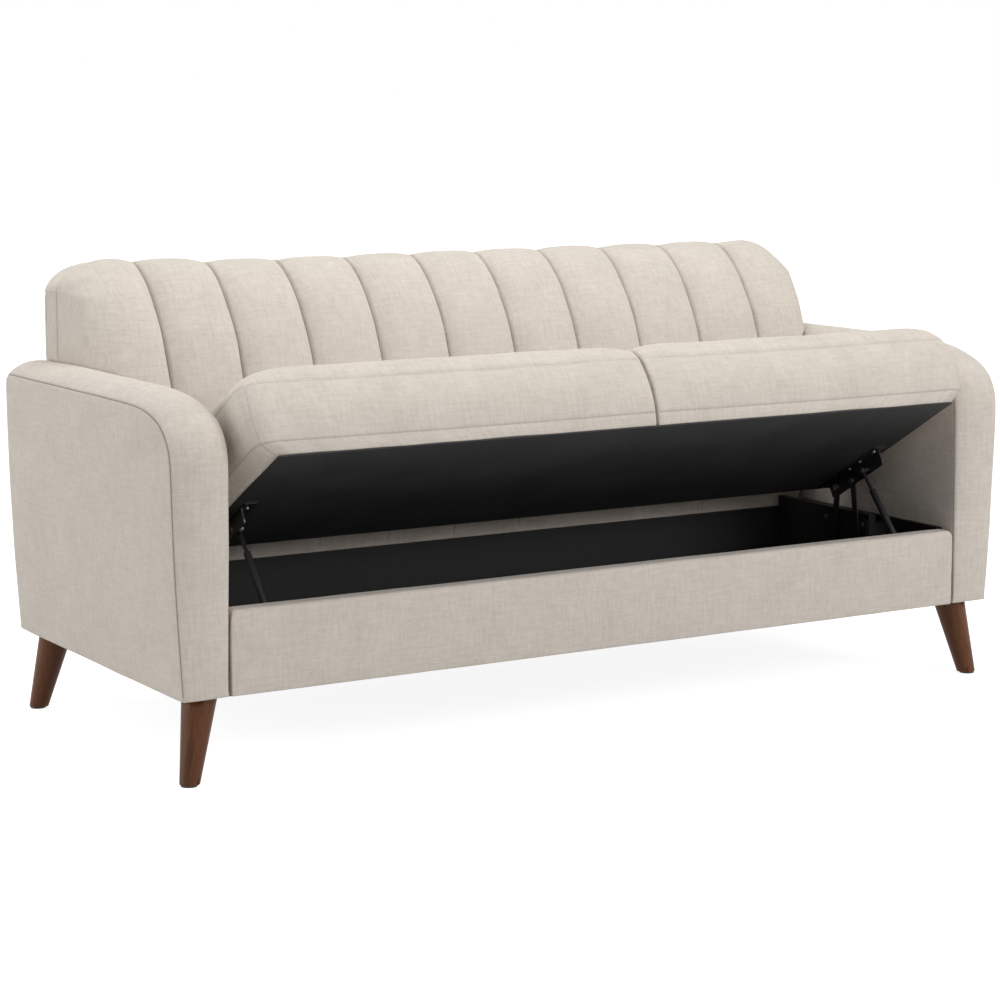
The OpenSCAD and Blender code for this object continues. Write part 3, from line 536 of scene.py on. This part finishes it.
def cover_rail():
    """The rail's cover, with its lip under the board and its fold behind it."""
    r = rail_edge_r
    lip_z = base_z - rail_lip
    high = arc((front_y + r, rail_top - r), r, 180, 90, 4)
    folded = arc((rail_flap_y - r / 2, rail_top - r / 2), r / 2, 90, 0, 3)
    rise = [(front_y, mix(base_z, rail_top - r, s)) for s in rail_rise_shares]
    outline = [(board_front, base_z - board_gap), (board_front, lip_z), (front_y + rail_lip, lip_z),
               (front_y, base_z)] + rise + high + folded
    outline += [(rail_flap_y, rail_top - rail_flap_h), (board_rear, rail_top - rail_flap_h),
                (board_rear, board_top), (board_front, board_top)]
    ends = [rail_corner_r * s for s in rail_end_shares]
    places = [-rail_half + e for e in ends]
    places += stations(-rail_half + ends[-1], rail_half - ends[-1], rail_step)
    places += [rail_half - e for e in reversed(ends)]
    bm = sweep_outline(outline, places)
    lay_threads(bm)
    bm.verts.layers.float.new("seam")
    turn_x, turn_z = rail_half - rail_corner_r, rail_top - rail_corner_r
    for vert in bm.verts:
        x, y, z = vert.co
        high_share = (z - base_z) / (rail_top - base_z)
        bulge = rail_bulge * math.sin(math.pi * clamp(high_share)) ** 0.5
        ease = 1 - math.exp(-(rail_half - abs(x)) / rail_bulge_reach)
        if near(y, front_y):
            y -= bulge * ease
        if abs(x) > turn_x and z > turn_z:
            u, v = round_off((abs(x) - turn_x) / rail_corner_r, (z - turn_z) / rail_corner_r)
            x, z = math.copysign(turn_x + u * rail_corner_r, x), turn_z + v * rail_corner_r
        vert.co = (x, y, z)
    rumple(bm, (*rail_swell, 9.0))
    upholster(bm, "front_rail_linen", 1, "body", "front_rail_cover")


cover_rail()


# The back is one long foam pad under linen, stitched into eleven upright channels that run from
# its foot over its crown to the boxing strip, which goes across the top and down both ends.
back_depth = 0.315
back_top = 0.881
back_corner_w = 0.098
back_corner_h = 0.058
back_half = 0.860
# The sitter's right end is stuffed fuller, and so stands a little higher
end_lift = 0.009
end_lift_x = 0.5
end_lift_reach = 0.25
end_lift_rise = 0.15
end_round = 0.072
end_round_share = 0.27
end_fill_share = 0.5
least_round_share = 0.08
channels = 11
channel_pitch = 0.157
channel_crown = 0.018
channel_power = 3.0
groove_depth = 0.009
# The thread gathers the cloth into puckers a little way from each seam
pucker_depth = 0.0018
pucker_w = 0.05
pucker_turn = 2.2
gather_share = 0.18
gather_spread_share = 0.17
boxing_w = 0.0715
boxing_fall = 0.003
boxing_fall_rise = 0.1
boxing_low = 0.03
boxing_seam_share = 0.7
# How dark the painted shade along the boxing's seam is
boxing_seam_shade = 0.8
lap_gap = 0.001
pad_swell = (0.0016, 0.09)
pad_ripple = (0.0005, 0.03)
panel_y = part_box("back_panel")[0].y
pad_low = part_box("back_pad")[0].z
# Where the pad's cloth is cut: beside each seam, and near its ends before and on the arms
groove_places = (seam_reach, 0.0065, 0.012, 0.020, 0.032, 0.048, 0.066)
end_places = (0.785, 0.797, 0.808, 0.818)
lap_places = (0.836, 0.845, 0.8525, 0.857)
# A run counts the outline's points from the foot; the seams' grooves and painted shade fade in, and the
# boxing falls, over two
pad_step = 0.2
slope_step = 0.05
seam_start = 0.5
fade_runs = 2
# The front outline from the foot up: share of the depth, of the height and of the channel's crown
profile_shares = [
    (0.863, 0, 0), (0.863, 0.027, 0), (0.885, 0.075, 0.2), (0.938, 0.146, 0.5), (0.984, 0.223, 0.8),
    (1, 0.285, 0.8), (0.984, 0.378, 0.9), (0.952, 0.464, 1), (0.911, 0.541, 1), (0.867, 0.61, 1),
    (0.771, 0.747, 1), (0.657, 0.851, 1), (0.543, 0.924, 1), (0.422, 0.976, 0.85), (0.318, 1, 0.5),
    (0.235, 1, 0)]
last_run = len(profile_shares) - 1


def on_profile(run):
    """A smooth place on the outline, its run counted in points from the foot."""
    k = min(int(run), last_run - 1)
    t = run - k
    points = [profile_shares[max(0, min(last_run, k + d))] for d in (-1, 0, 1, 2)]
    depth, height, crown = (
        0.5 * (2 * b + (c - a) * t + (2 * a - 5 * b + 4 * c - d) * t ** 2
               + (3 * b - a - 3 * c + d) * t ** 3)
        for a, b, c, d in zip(*points))
    return back_y - back_depth * depth, mix(pad_low, back_top, height), clamp(crown)


def quarter(x, reach):
    """A quarter round's height, from 1 down to 0 over the last of the back's half width."""
    return math.sqrt(1 - clamp((abs(x) - back_half + reach) / reach) ** 2)


def run_at_height(height):
    """The run at which the outline passes a height."""
    low, high = 0.0, float(last_run - 2)
    for _ in range(40):
        middle = (low + high) / 2
        low, high = (middle, high) if on_profile(middle)[1] < height else (low, middle)
    return low


def cloth_walk(run):
    """How far the cloth has gone from the foot at a run, in metres."""
    steps = [min(run, k * pad_step) for k in range(int(run / pad_step) + 2)]
    places = [Vector(on_profile(s)[:2]) for s in steps]
    return sum((b - a).length for a, b in zip(places, places[1:]))


def pad_place(x, run):
    """A place on the pad's front, its channels swelling between their seams."""
    y, z, crown = on_profile(run)
    ahead = on_profile(min(run + slope_step, last_run))
    behind = on_profile(max(run - slope_step, 0))
    out = Vector((behind[1] - ahead[1], ahead[0] - behind[0])).normalized()
    turn = abs(x) / channel_pitch + 0.5
    off_seam = 1 - abs(2 * (turn - math.floor(turn)) - 1)
    if abs(x) > channel_pitch * (channels - 1) / 2:
        off_seam = max(off_seam, end_fill_share)
    swell = channel_crown * crown * (1 - (1 - off_seam) ** channel_power)
    gather = clamp(1 - abs(off_seam - gather_share) / gather_spread_share)
    pucker = noise.noise(Vector((x / pucker_w, pucker_turn * run, 4.0)))
    swell += pucker_depth * crown * gather * pucker
    y += swell * out[0]
    z += swell * out[1]
    y += (panel_y - y) * end_round_share * (1 - quarter(x, end_round))
    bend = back_top - back_corner_h
    if z > bend:
        z = bend + (z - bend) * max(least_round_share, quarter(x, back_corner_w))
    z += end_lift * clamp((-x - end_lift_x) / end_lift_reach) * clamp((z - arm_top) / end_lift_rise)
    return y, z


def lay_pad_threads(bm):
    """Notes the place on the bolt of cloth along the pad's outline, while the pad still lies flat."""
    bolt = bm.loops.layers.uv.new("thread")
    walks = {round(v.co.y, 5): 0.0 for v in bm.verts}
    for run in walks:
        walks[run] = cloth_walk(run)
    for face in bm.faces:
        for corner in face.loops:
            corner[bolt].uv = (corner.vert.co.x, walks[round(corner.vert.co.y, 5)])


def lay_boxing_threads(bm):
    """Notes the place on the bolt of cloth on the boxing strip, across the top and down the ends."""
    bolt = bm.loops.layers.uv["thread"]
    for face in bm.faces:
        if abs(face.normal.z) > 0.9 or abs(face.normal.x) > 0.9:
            for corner in face.loops:
                place = corner.vert.co
                corner[bolt].uv = (place.x + place.y, place.z + place.y)


def draw_seams(bm, boxing_y):
    """Sinks the channels' seams and the boxing's seam into the foam, and lays painted shade along the
    boxing's seam.
    """
    seam = bm.verts.layers.float["seam"]
    moves = []
    for vert in bm.verts:
        on_boxing = near(vert.co.y, boxing_y) and vert.co.z > arm_top + boxing_low
        sunk = seam_depth * boxing_seam_share if on_boxing else groove_depth * vert[seam]
        if on_boxing:
            # Painted shade along the boxing's seam.
            vert[seam] = boxing_seam_shade
        moves.append(-vert.normal * sunk)
    for vert, move in zip(bm.verts, moves):
        vert.co += move


def pad_back():
    """The channelled pad, closed behind where it lies against the outside panel."""
    bm = bmesh.new()
    corners = [bm.verts.new(p) for p in ((-back_half, 0, 0), (back_half, 0, 0),
                                         (back_half, last_run, 0), (-back_half, last_run, 0))]
    bm.faces.new(corners)
    seams = [(k - (channels - 2) / 2) * channel_pitch for k in range(channels - 1)]
    lap_x = arm_side_x(arm_top)[0]
    columns = seams + [s + sign * o for s in seams for o in groove_places for sign in (-1, 1)
                       if abs(s + sign * o) < lap_x]
    columns += [sign * x for sign in (-1, 1) for x in (*end_places, lap_x, *lap_places)]
    lap_run = run_at_height(arm_top)
    slice_at(bm, 0, columns)
    slice_at(bm, 1, [lap_run] + stations(0, last_run, pad_step))
    under = [f for f in bm.faces if abs(f.calc_center_median().x) > lap_x
             and f.calc_center_median().y < lap_run]
    bmesh.ops.delete(bm, geom=under, context="FACES")
    lay_pad_threads(bm)
    seam = bm.verts.layers.float.new("seam")
    rim = [e for e in bm.edges if e.is_boundary]
    made = bmesh.ops.extrude_edge_only(bm, edges=rim)["geom"]
    rear = {g for g in made if isinstance(g, bmesh.types.BMVert)}
    for vert in bm.verts:
        x, run, _ = vert.co
        y, z = pad_place(x, run)
        if vert in rear:
            y = panel_y
            z -= (boxing_fall * clamp((run - lap_run) / fade_runs)
                  * clamp((z - arm_top) / boxing_fall_rise))
        elif any(near(x, s) for s in seams):
            # The channel seam's painted shade, which also sets its groove's depth, fades in from the foot.
            vert[seam] = clamp((run - seam_start) / fade_runs)
        if abs(x) > lap_x - touch and run < lap_run + touch:
            inner, outer = arm_side_x(arm_top)
            across = (abs(x) - inner) / (outer - inner)
            if near(abs(x), lap_x):
                x = math.copysign(arm_side_x(min(z, arm_top))[0] - lap_gap, x)
            else:
                z = arm_top + arm_crown * strip_rise(across) + lap_gap
        vert.co = (x, y, z)
    boxing_y = back_y - boxing_w
    slice_at(bm, 1, [boxing_y - seam_reach, boxing_y, boxing_y + seam_reach, panel_y - seam_reach])
    bmesh.ops.holes_fill(bm, edges=[e for e in bm.edges if e.is_boundary], sides=0)
    bmesh.ops.triangulate(bm, faces=[f for f in bm.faces if len(f.verts) > 4])
    bmesh.ops.recalc_face_normals(bm, faces=bm.faces)
    bm.normal_update()
    lay_boxing_threads(bm)
    draw_seams(bm, boxing_y)
    rumple(bm, (*pad_swell, 5.0), (*pad_ripple, 2.0))
    for vert in bm.verts:
        vert.co.y = min(vert.co.y, panel_y)
    upholster(bm, "back_pad_linen", 1, "body", "back_pad")


pad_back()


# The outside back is a thin board under linen, drawn tight and tacked on last, so that it hides
# the staples of the pad and the arms.
panel_edge_r = 0.005
panel_inset = 0.003
# Where the outline is shaped on the arm's top, from the arm's inner edge to the panel's end
panel_lap_shares = (0.4, 0.7, 1)


def cover_outside():
    """The outside back: its outline, given its thickness, with its edges eased."""
    bm = bmesh.new()
    low_x, high_x = (arm_side_x(z)[0] - lap_gap for z in (base_z, arm_top))
    inner, outer = arm_side_x(arm_top)
    half, top = back_half - panel_inset, back_top - boxing_fall - panel_inset
    right = [(low_x, base_z), (high_x, arm_top)]
    for x in (mix(high_x, half, s) for s in panel_lap_shares):
        right.append((x, arm_top + arm_crown * strip_rise((x - inner) / (outer - inner)) + lap_gap))
    right += [(half - back_corner_w * (1 - u), top - back_corner_h * (1 - v))
              for u, v in arc((0, 0), 1, 0, 90, 10)]
    outline = right + [(-x, z) for x, z in reversed(right)]
    face = bm.faces.new([bm.verts.new((x, panel_y, z)) for x, z in outline])
    made = bmesh.ops.extrude_face_region(bm, geom=[face], use_keep_orig=True)["geom"]
    verts = [g for g in made if isinstance(g, bmesh.types.BMVert)]
    bmesh.ops.translate(bm, vec=(0, back_y - panel_y, 0), verts=verts)
    rim = [e for e in bm.edges if all(near(v.co.y, back_y) for v in e.verts)]
    bmesh.ops.bevel(bm, geom=rim, offset=panel_edge_r, offset_type="OFFSET", segments=3,
                    profile=0.5, affect="EDGES", material=-1)
    bmesh.ops.recalc_face_normals(bm, faces=bm.faces)
    bmesh.ops.triangulate(bm, faces=[f for f in bm.faces if len(f.verts) > 4])
    lay_threads(bm)
    bm.verts.layers.float.new("seam")
    made = make_piece(bm, "outside_back_linen", linen)
    for face in made.data.polygons:
        face.use_smooth = abs(face.normal.y) < 0.999
    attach(made, "body")
    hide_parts("back_panel")


cover_outside()


# The seat is two foam cushions side by side, boxed in linen: a narrow hem that turns in under the
# lower seam, a border, and a crowned top. They lift with the seat, so they are shaped lying level
# and then tilted with it. Where they meet they press together, so that their crowns stay high.
seat_tilt = math.radians(30.2)
seat_rear = Vector((0, -0.076, 0.372))
seat_half = 0.805
seat_depth = 0.440
cushion_front = 0.012
cushion_rear = 0.006
parting_off = 0.039
parting_gap = 0.001
hem_low = 0.0033
lower_seam = 0.026
top_seam = 0.137
seat_crown = 0.058
crown_dome = 0.003
hem_inset = 0.033
hem_front = 0.010
hem_rear = 0.004
border_bow = 0.009
rear_bow_share = 0.45
seam_draw = 0.004
corner_r = {"side": 0.036, "parting": 0.008}
crown_reach = {"front": 0.100, "rear": 0.060, "parting": 0.090}
side_reach = {"left": 0.070, "right": 0.125}
parting_crown_share = 0.66
parting_edge_r = 0.008
parting_edge_share = 0.6
seat_step = 0.030
border_step = 0.02
# The degrees round the crown's roll at which its cloth is cut
roll_turns = (24, 38, 52, 66, 78, 90)
# How dark the painted shade along each seam is, and how deep the seam is drawn
top_seam_shade_and_depth = (0.45, 0.0014)
lower_seam_shade_and_depth = (0.7, 0.0022)
corner_seam_shade_and_depth = (0.6, 0.0012)
hem_corner_shade = 0.9
top_seam_fall_share = 0.4
seat_swell = (0.0020, 0.11)
seat_ripple = (0.0005, 0.035)
# The way in from each of a cushion's walls
way_in = {"side": (-1, 0), "parting": (1, 0), "front": (0, 1), "rear": (0, -1)}


def roll(distance, reach):
    """The height of a quarter round at a distance in from its edge, from 0 to 1."""
    return math.sqrt(1 - (1 - clamp(distance / reach)) ** 2)


def crown_lift(ways, reach):
    """The crown's height on a cushion's top, as a share of its full height."""
    lift = math.prod(roll(ways[w], reach[w]) for w in ("front", "rear", "side"))
    share = mix(parting_crown_share, 1, roll(ways["parting"], reach["parting"]))
    eased = parting_edge_r / seat_crown * (1 - roll(ways["parting"], parting_edge_r))
    return max(0.0, lift * share - eased * min(1.0, 3 * lift))


def round_corner(x, y, ways):
    """Takes a place at one of a cushion's upright corners in to that corner's round."""
    for across in ("parting", "side"):
        r = corner_r[across]
        for along in ("front", "rear"):
            if ways[across] < r and ways[along] < r:
                u, v = round_off(1 - ways[across] / r, 1 - ways[along] / r)
                x += (r * (1 - u) - ways[across]) * way_in[across][0]
                y += (r * (1 - v) - ways[along]) * way_in[along][1]
    return x, y


def cushion_seat(side, hand):
    """One seat cushion; a side of 1 is left and of -1 right."""
    x0, x1 = side * parting_off + parting_gap, seat_half
    y0, y1 = -seat_depth - cushion_front, cushion_rear
    reach = {**crown_reach, "side": side_reach[hand]}
    bm = block_mesh((x0, y0, hem_low), (x1, y1, top_seam))
    edge = seam_reach
    rolls = [1 - math.cos(math.radians(a)) for a in roll_turns]
    turn, turn_in = corner_r["side"], corner_r["parting"]
    slice_at(bm, 0, [x0 + edge, x1 - edge, x0 + turn_in, x1 - turn, x1 - turn / 2,
                     x0 + turn_in * parting_edge_share]
             + [x1 - reach["side"] * r for r in rolls[2:]]
             + [x0 + reach["parting"] * r for r in rolls[1:]]
             + stations(x0 + reach["parting"], x1 - reach["side"], seat_step))
    slice_at(bm, 1, [y0 + edge, y1 - edge, y0 + turn, y1 - turn, y0 + turn / 2, y1 - turn / 2]
             + [y0 + reach["front"] * r for r in rolls[1:]]
             + [y1 - reach["rear"] * r for r in rolls[2:]]
             + stations(y0 + reach["front"], y1 - reach["rear"], seat_step))
    slice_at(bm, 2, [lower_seam - edge, lower_seam, lower_seam + edge, top_seam - edge]
             + stations(lower_seam + edge, top_seam - edge, border_step))
    lay_threads(bm)
    seam = bm.verts.layers.float.new("seam")
    for vert in bm.verts:
        x, y, t = vert.co
        ways = {"parting": x - x0, "side": x1 - x, "front": y - y0, "rear": y1 - y}
        on_top = near(t, top_seam)
        on_wall = min(ways.values()) < touch
        share_x = clamp((x - x0) / (x1 - x0))
        share_y = clamp((y - y0) / (y1 - y0))
        bow = math.sin(math.pi * clamp((t - lower_seam) / (top_seam - lower_seam)))
        hem = clamp((lower_seam - t) / (lower_seam - hem_low))
        out = {}
        for way, along in (("side", share_y), ("front", share_x), ("rear", share_x)):
            fade = (1 - clamp(ways[way] / reach[way])) ** 2 if not on_wall or on_top else 1.0
            fade *= ways[way] < reach[way]
            drawn = -seam_draw * math.sin(math.pi * along) * (1 - bow) * (1 - hem)
            bowed = border_bow * bow * (rear_bow_share if way == "rear" else 1.0)
            out[way] = (drawn + bowed) * fade
        x, y = round_corner(x, y, ways)
        x += out["side"] - hem_inset * hem * share_x
        y += out["rear"] - out["front"] + hem_front * hem * (1 - share_y) - hem_rear * hem * share_y
        sunk = 0.0
        if on_wall and ways["parting"] > touch and (on_top or near(t, lower_seam)):
            # Painted shade darkens the seam, which is also sunk in.
            vert[seam], sunk = top_seam_shade_and_depth if on_top else lower_seam_shade_and_depth
        elif near(ways["side"], 0) and near(ways["front"], 0):
            # Painted shade darkens the upright corner seam, which is also sunk in.
            vert[seam], sunk = corner_seam_shade_and_depth
            if t < lower_seam:
                vert[seam] = hem_corner_shade
        if sunk:
            met = [Vector(way_in[way]) for way in way_in if ways[way] < touch]
            inward = sum(met, Vector((0, 0))).normalized() * sunk
            x, y = x + inward.x, y + inward.y
        if on_top:
            lift = crown_lift(ways, reach)
            t += seat_crown * lift + crown_dome * lift ** 4 - sunk * top_seam_fall_share
        vert.co = (side * x, y, t)
    if side < 0:
        bmesh.ops.reverse_faces(bm, faces=bm.faces)
    rumple(bm, (*seat_swell, 7.0 + side), (*seat_ripple, 4.0 + side))
    place = Matrix.Translation(seat_rear + Vector((0, body_shift, 0)))
    bmesh.ops.transform(bm, matrix=place @ Matrix.Rotation(-seat_tilt, 4, "X"), verts=bm.verts)
    name = hand + "_seat_cushion"
    upholster(bm, name + "_linen", 2, "seat", name)


for side, hand in ((1, "left"), (-1, "right")):
    cushion_seat(side, hand)


# A thin black panel closes the seat's frame from below, and is what the raised seat shows.
panel_black = new_material("panel_black", film, on_object(), {
    "Tint": tone(30, 30, 30), "Dust": tone(37, 37, 37), "Pebble": 1400.0, "Roughness": 0.62}, 0.0002,
    Specular_IOR_Level=0.35)
dress(["seat_underside"], panel_black)


# The lift is pressed steel, enamelled black, on zinc-plated pins and screws, with a spring strut
# at each side. The plates over the legs have the same enamel, and the bumpers are black rubber.
steel_black = new_material("steel_black", film, on_object(), {
    "Tint": tone(24, 24, 26), "Dust": tone(52, 52, 54), "Pebble": 1800.0, "Roughness": 0.34}, 0.0001,
    Coat_Weight=0.2)
dress(["left_base_plate", "right_base_plate", "left_rear_link", "right_rear_link", "left_front_link",
       "right_front_link", "left_seat_bracket", "right_seat_bracket", "left_strut_foot",
       "right_strut_foot", "left_strut_tube", "right_strut_tube", "left_strut_rod", "right_strut_rod",
       "leg_plates"], steel_black)


def plated_zinc():
    """Bright plating with a fine brushed line and cloudy patches."""
    group, start, ends = new_group(
        "plated_zinc", [("Place", "Vector"), ("Bright", "Color"), ("Dull", "Color")], SURFACE)
    place = start.outputs["Place"]
    cloud = put(group, "TexNoise", place, None, 240.0, 3.0, 0.5).outputs[0]
    lines = streaks(group, place, (3000, 3000, 160), 2.0)
    tint = colour_mix(group, spread(group, cloud, 0.35, 0.65), start.outputs["Dull"],
                      start.outputs["Bright"])
    rough = spread(group, cloud, 0.3, 0.7, 0.22, 0.4)
    finish_group(group, ends, Color=tint, Roughness=rough, Height=lines)
    return group


zinc = new_material("zinc", plated_zinc(), on_object(), {
    "Bright": tone(206, 208, 212), "Dull": tone(168, 170, 174)}, 0.00004, Metallic=1.0)
dress(["seat_pivot_pins", "base_pivot_pins", "strut_studs", "strut_foot_pins", "lift_screws",
       "bracket_screws", "leg_bolts", "leg_plate_screws"], zinc)
dress(["seat_bumpers"], new_material("bumper_rubber", film, on_object(), {
    "Tint": tone(22, 22, 22), "Dust": tone(40, 40, 40), "Pebble": 1200.0, "Roughness": 0.8}, 0.0002))


# The legs are turned and stained hardwood, tapered and splayed, each on a steel plate under an
# arm, with a plastic glide let into its foot.
leg_top_r = 0.0325
leg_foot_r = 0.018
leg_splay = (0.034, 0.024)
leg_place = (0.870, 0.337)
leg_foot_ease = 0.0015
leg_step = 0.02
# How far apart in the wood the left and right legs, and the front and rear ones, were cut
wood_shift = (3.1, 1.7)


def turn_leg(side, end, name):
    """One leg; a side of 1 is left, and an end of 1 is the rear."""
    low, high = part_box(name)
    run = math.hypot(*leg_splay)
    length = math.hypot(run, base_z)
    spare = leg_top_r
    slope = (leg_top_r - leg_foot_r) / length
    bm = bmesh.new()
    bmesh.ops.create_cone(bm, cap_ends=True, segments=64, radius1=leg_foot_r - slope * spare,
                          radius2=leg_top_r + slope * spare, depth=length + 2 * spare)
    bmesh.ops.translate(bm, vec=(0, 0, -length / 2), verts=bm.verts)
    slice_at(bm, 2, stations(-length - spare, spare, leg_step))
    upright = bm.verts.layers.float_vector.new("upright")
    for vert in bm.verts:
        vert[upright] = vert.co + Vector((side * wood_shift[0] + end, end * wood_shift[1], side))
    hinge = Vector((-end * leg_splay[1], side * leg_splay[0], 0))
    lean = Matrix.Rotation(math.atan2(run, base_z), 4, hinge)
    top = Vector((side * leg_place[0], body_shift + end * leg_place[1], high.z))
    bmesh.ops.transform(bm, matrix=Matrix.Translation(top) @ lean.inverted(), verts=bm.verts)
    for z, out in ((high.z, 1), (low.z, -1)):
        bmesh.ops.bisect_plane(bm, geom=bm.verts[:] + bm.edges[:] + bm.faces[:], dist=1e-6,
                               plane_co=(0, 0, z), plane_no=(0, 0, out), clear_outer=True)
    bmesh.ops.holes_fill(bm, edges=[e for e in bm.edges if e.is_boundary], sides=0)
    rim = [e for e in bm.edges if all(near(v.co.z, low.z) for v in e.verts)]
    bmesh.ops.bevel(bm, geom=rim, offset=leg_foot_ease, offset_type="OFFSET", segments=3, profile=0.5,
                    affect="EDGES", material=-1)
    bmesh.ops.recalc_face_normals(bm, faces=bm.faces)
    made = make_piece(bm, name + "_walnut", walnut)
    for face in made.data.polygons:
        face.use_smooth = abs(face.normal.z) < 0.99
    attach(made, "body")
    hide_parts(name)


def in_leg(tree):
    """Reads the place in the leg as it stood in the lathe."""
    return put(tree, "Attribute", attribute_name="upright").outputs["Vector"]


walnut = new_material("walnut", grain, in_leg, {
    "Pale": tone(112, 66, 34), "Deep": tone(52, 27, 12), "Roughness": 0.45}, 0.0002,
    Specular_IOR_Level=0.22)
for side, way in ((1, "left"), (-1, "right")):
    for end, where in ((-1, "front"), (1, "rear")):
        turn_leg(side, end, where + "_" + way + "_leg")
dress(["leg_glides"], new_material("glide_plastic", film, on_object(), {
    "Tint": tone(30, 29, 28), "Dust": tone(48, 47, 46), "Pebble": 700.0, "Roughness": 0.5}, 0.0002))


# A black non-woven cloth, stapled to the frame, closes the sofa from below.
def bonded_cloth():
    """Non-woven cloth: bonded dots on a felted ground."""
    group, start, ends = new_group(
        "bonded_cloth", [("Place", "Vector"), ("Tint", "Color"), ("Felt", "Color")], SURFACE)
    place = start.outputs["Place"]
    felt = put(group, "TexNoise", place, None, 600.0, 4.0, 0.7).outputs[0]
    dots = put(group, "TexVoronoi", place, None, 700.0).outputs["Distance"]
    tint = colour_mix(group, spread(group, felt, 0.35, 0.65), start.outputs["Tint"], start.outputs["Felt"])
    rough = spread(group, felt, 0.3, 0.7, 0.85, 0.95)
    finish_group(group, ends, Color=tint, Roughness=rough, Height=sums(group, "ADD", felt, dots))
    return group


dress(["underside_cloth"], new_material("cloth_black", bonded_cloth(), on_object(), {
    "Tint": tone(24, 24, 24), "Felt": tone(38, 38, 38)}, 0.0004))


# The studio is a white floor and white surroundings. A broad soft lamp stands to the right and in
# front, one hangs above, and one lights the right arm's outer side. The floor keeps a faint shadow.
floor_reach = 20.0
floor_glow = 0.86
white_light = 0.55
white_seen = 1.0
# Each lamp's place, what it points at, its size and its power
lamps = {"key_lamp": ((3.7, -7.3, 3.7), (0, 0, 0.5), 4.2, 370),
         "top_lamp": ((-0.3, 0.4, 3.8), (0, 0, 0.6), 2.4, 60),
         "side_lamp": ((-5.0, 1.1, 1.3), (-0.9, 0, 0.4), 2.4, 72)}


def as_seen(tree, strength, seen_strength):
    """One strength for the light that falls on the sofa, another for what is seen or mirrored."""
    light = put(tree, "LightPath")
    seen = sums(tree, "MAXIMUM", light.outputs["Is Camera Ray"], light.outputs["Is Glossy Ray"],
                light.outputs["Is Transmission Ray"])
    return spread(tree, seen, 0, 1, strength, seen_strength)


def studio():
    """Floor, lamps and surroundings."""
    bm = bmesh.new()
    bmesh.ops.create_grid(bm, x_segments=1, y_segments=1, size=floor_reach)
    material = bpy.data.materials.new("studio_floor")
    material.use_nodes = True
    tree = material.node_tree
    shader = tree.nodes["Principled BSDF"]
    shader.inputs["Base Color"].default_value = tone(188, 188, 188)
    shader.inputs["Roughness"].default_value = 1.0
    shader.inputs["Specular IOR Level"].default_value = 0.0
    shader.inputs["Emission Color"].default_value = (1, 1, 1, 1)
    tree.links.new(as_seen(tree, 0, floor_glow), shader.inputs["Emission Strength"])
    floor = make_piece(bm, "studio_floor", material)

    world = bpy.data.worlds.new("studio")
    world.use_nodes = True
    tree = world.node_tree
    back = tree.nodes["Background"]
    back.inputs["Color"].default_value = (1, 1, 1, 1)
    tree.links.new(as_seen(tree, white_light, white_seen), back.inputs["Strength"])
    bpy.context.scene.world = world

    for name, (place, target, size, power) in lamps.items():
        data = bpy.data.lights.new(name, "AREA")
        data.size = size
        data.energy = power
        lamp = bpy.data.objects.new(name, data)
        lamp.location = place
        lamp.rotation_euler = (Vector(target) - Vector(place)).to_track_quat("-Z", "Y").to_euler()
        bpy.context.scene.collection.objects.link(lamp)


studio()
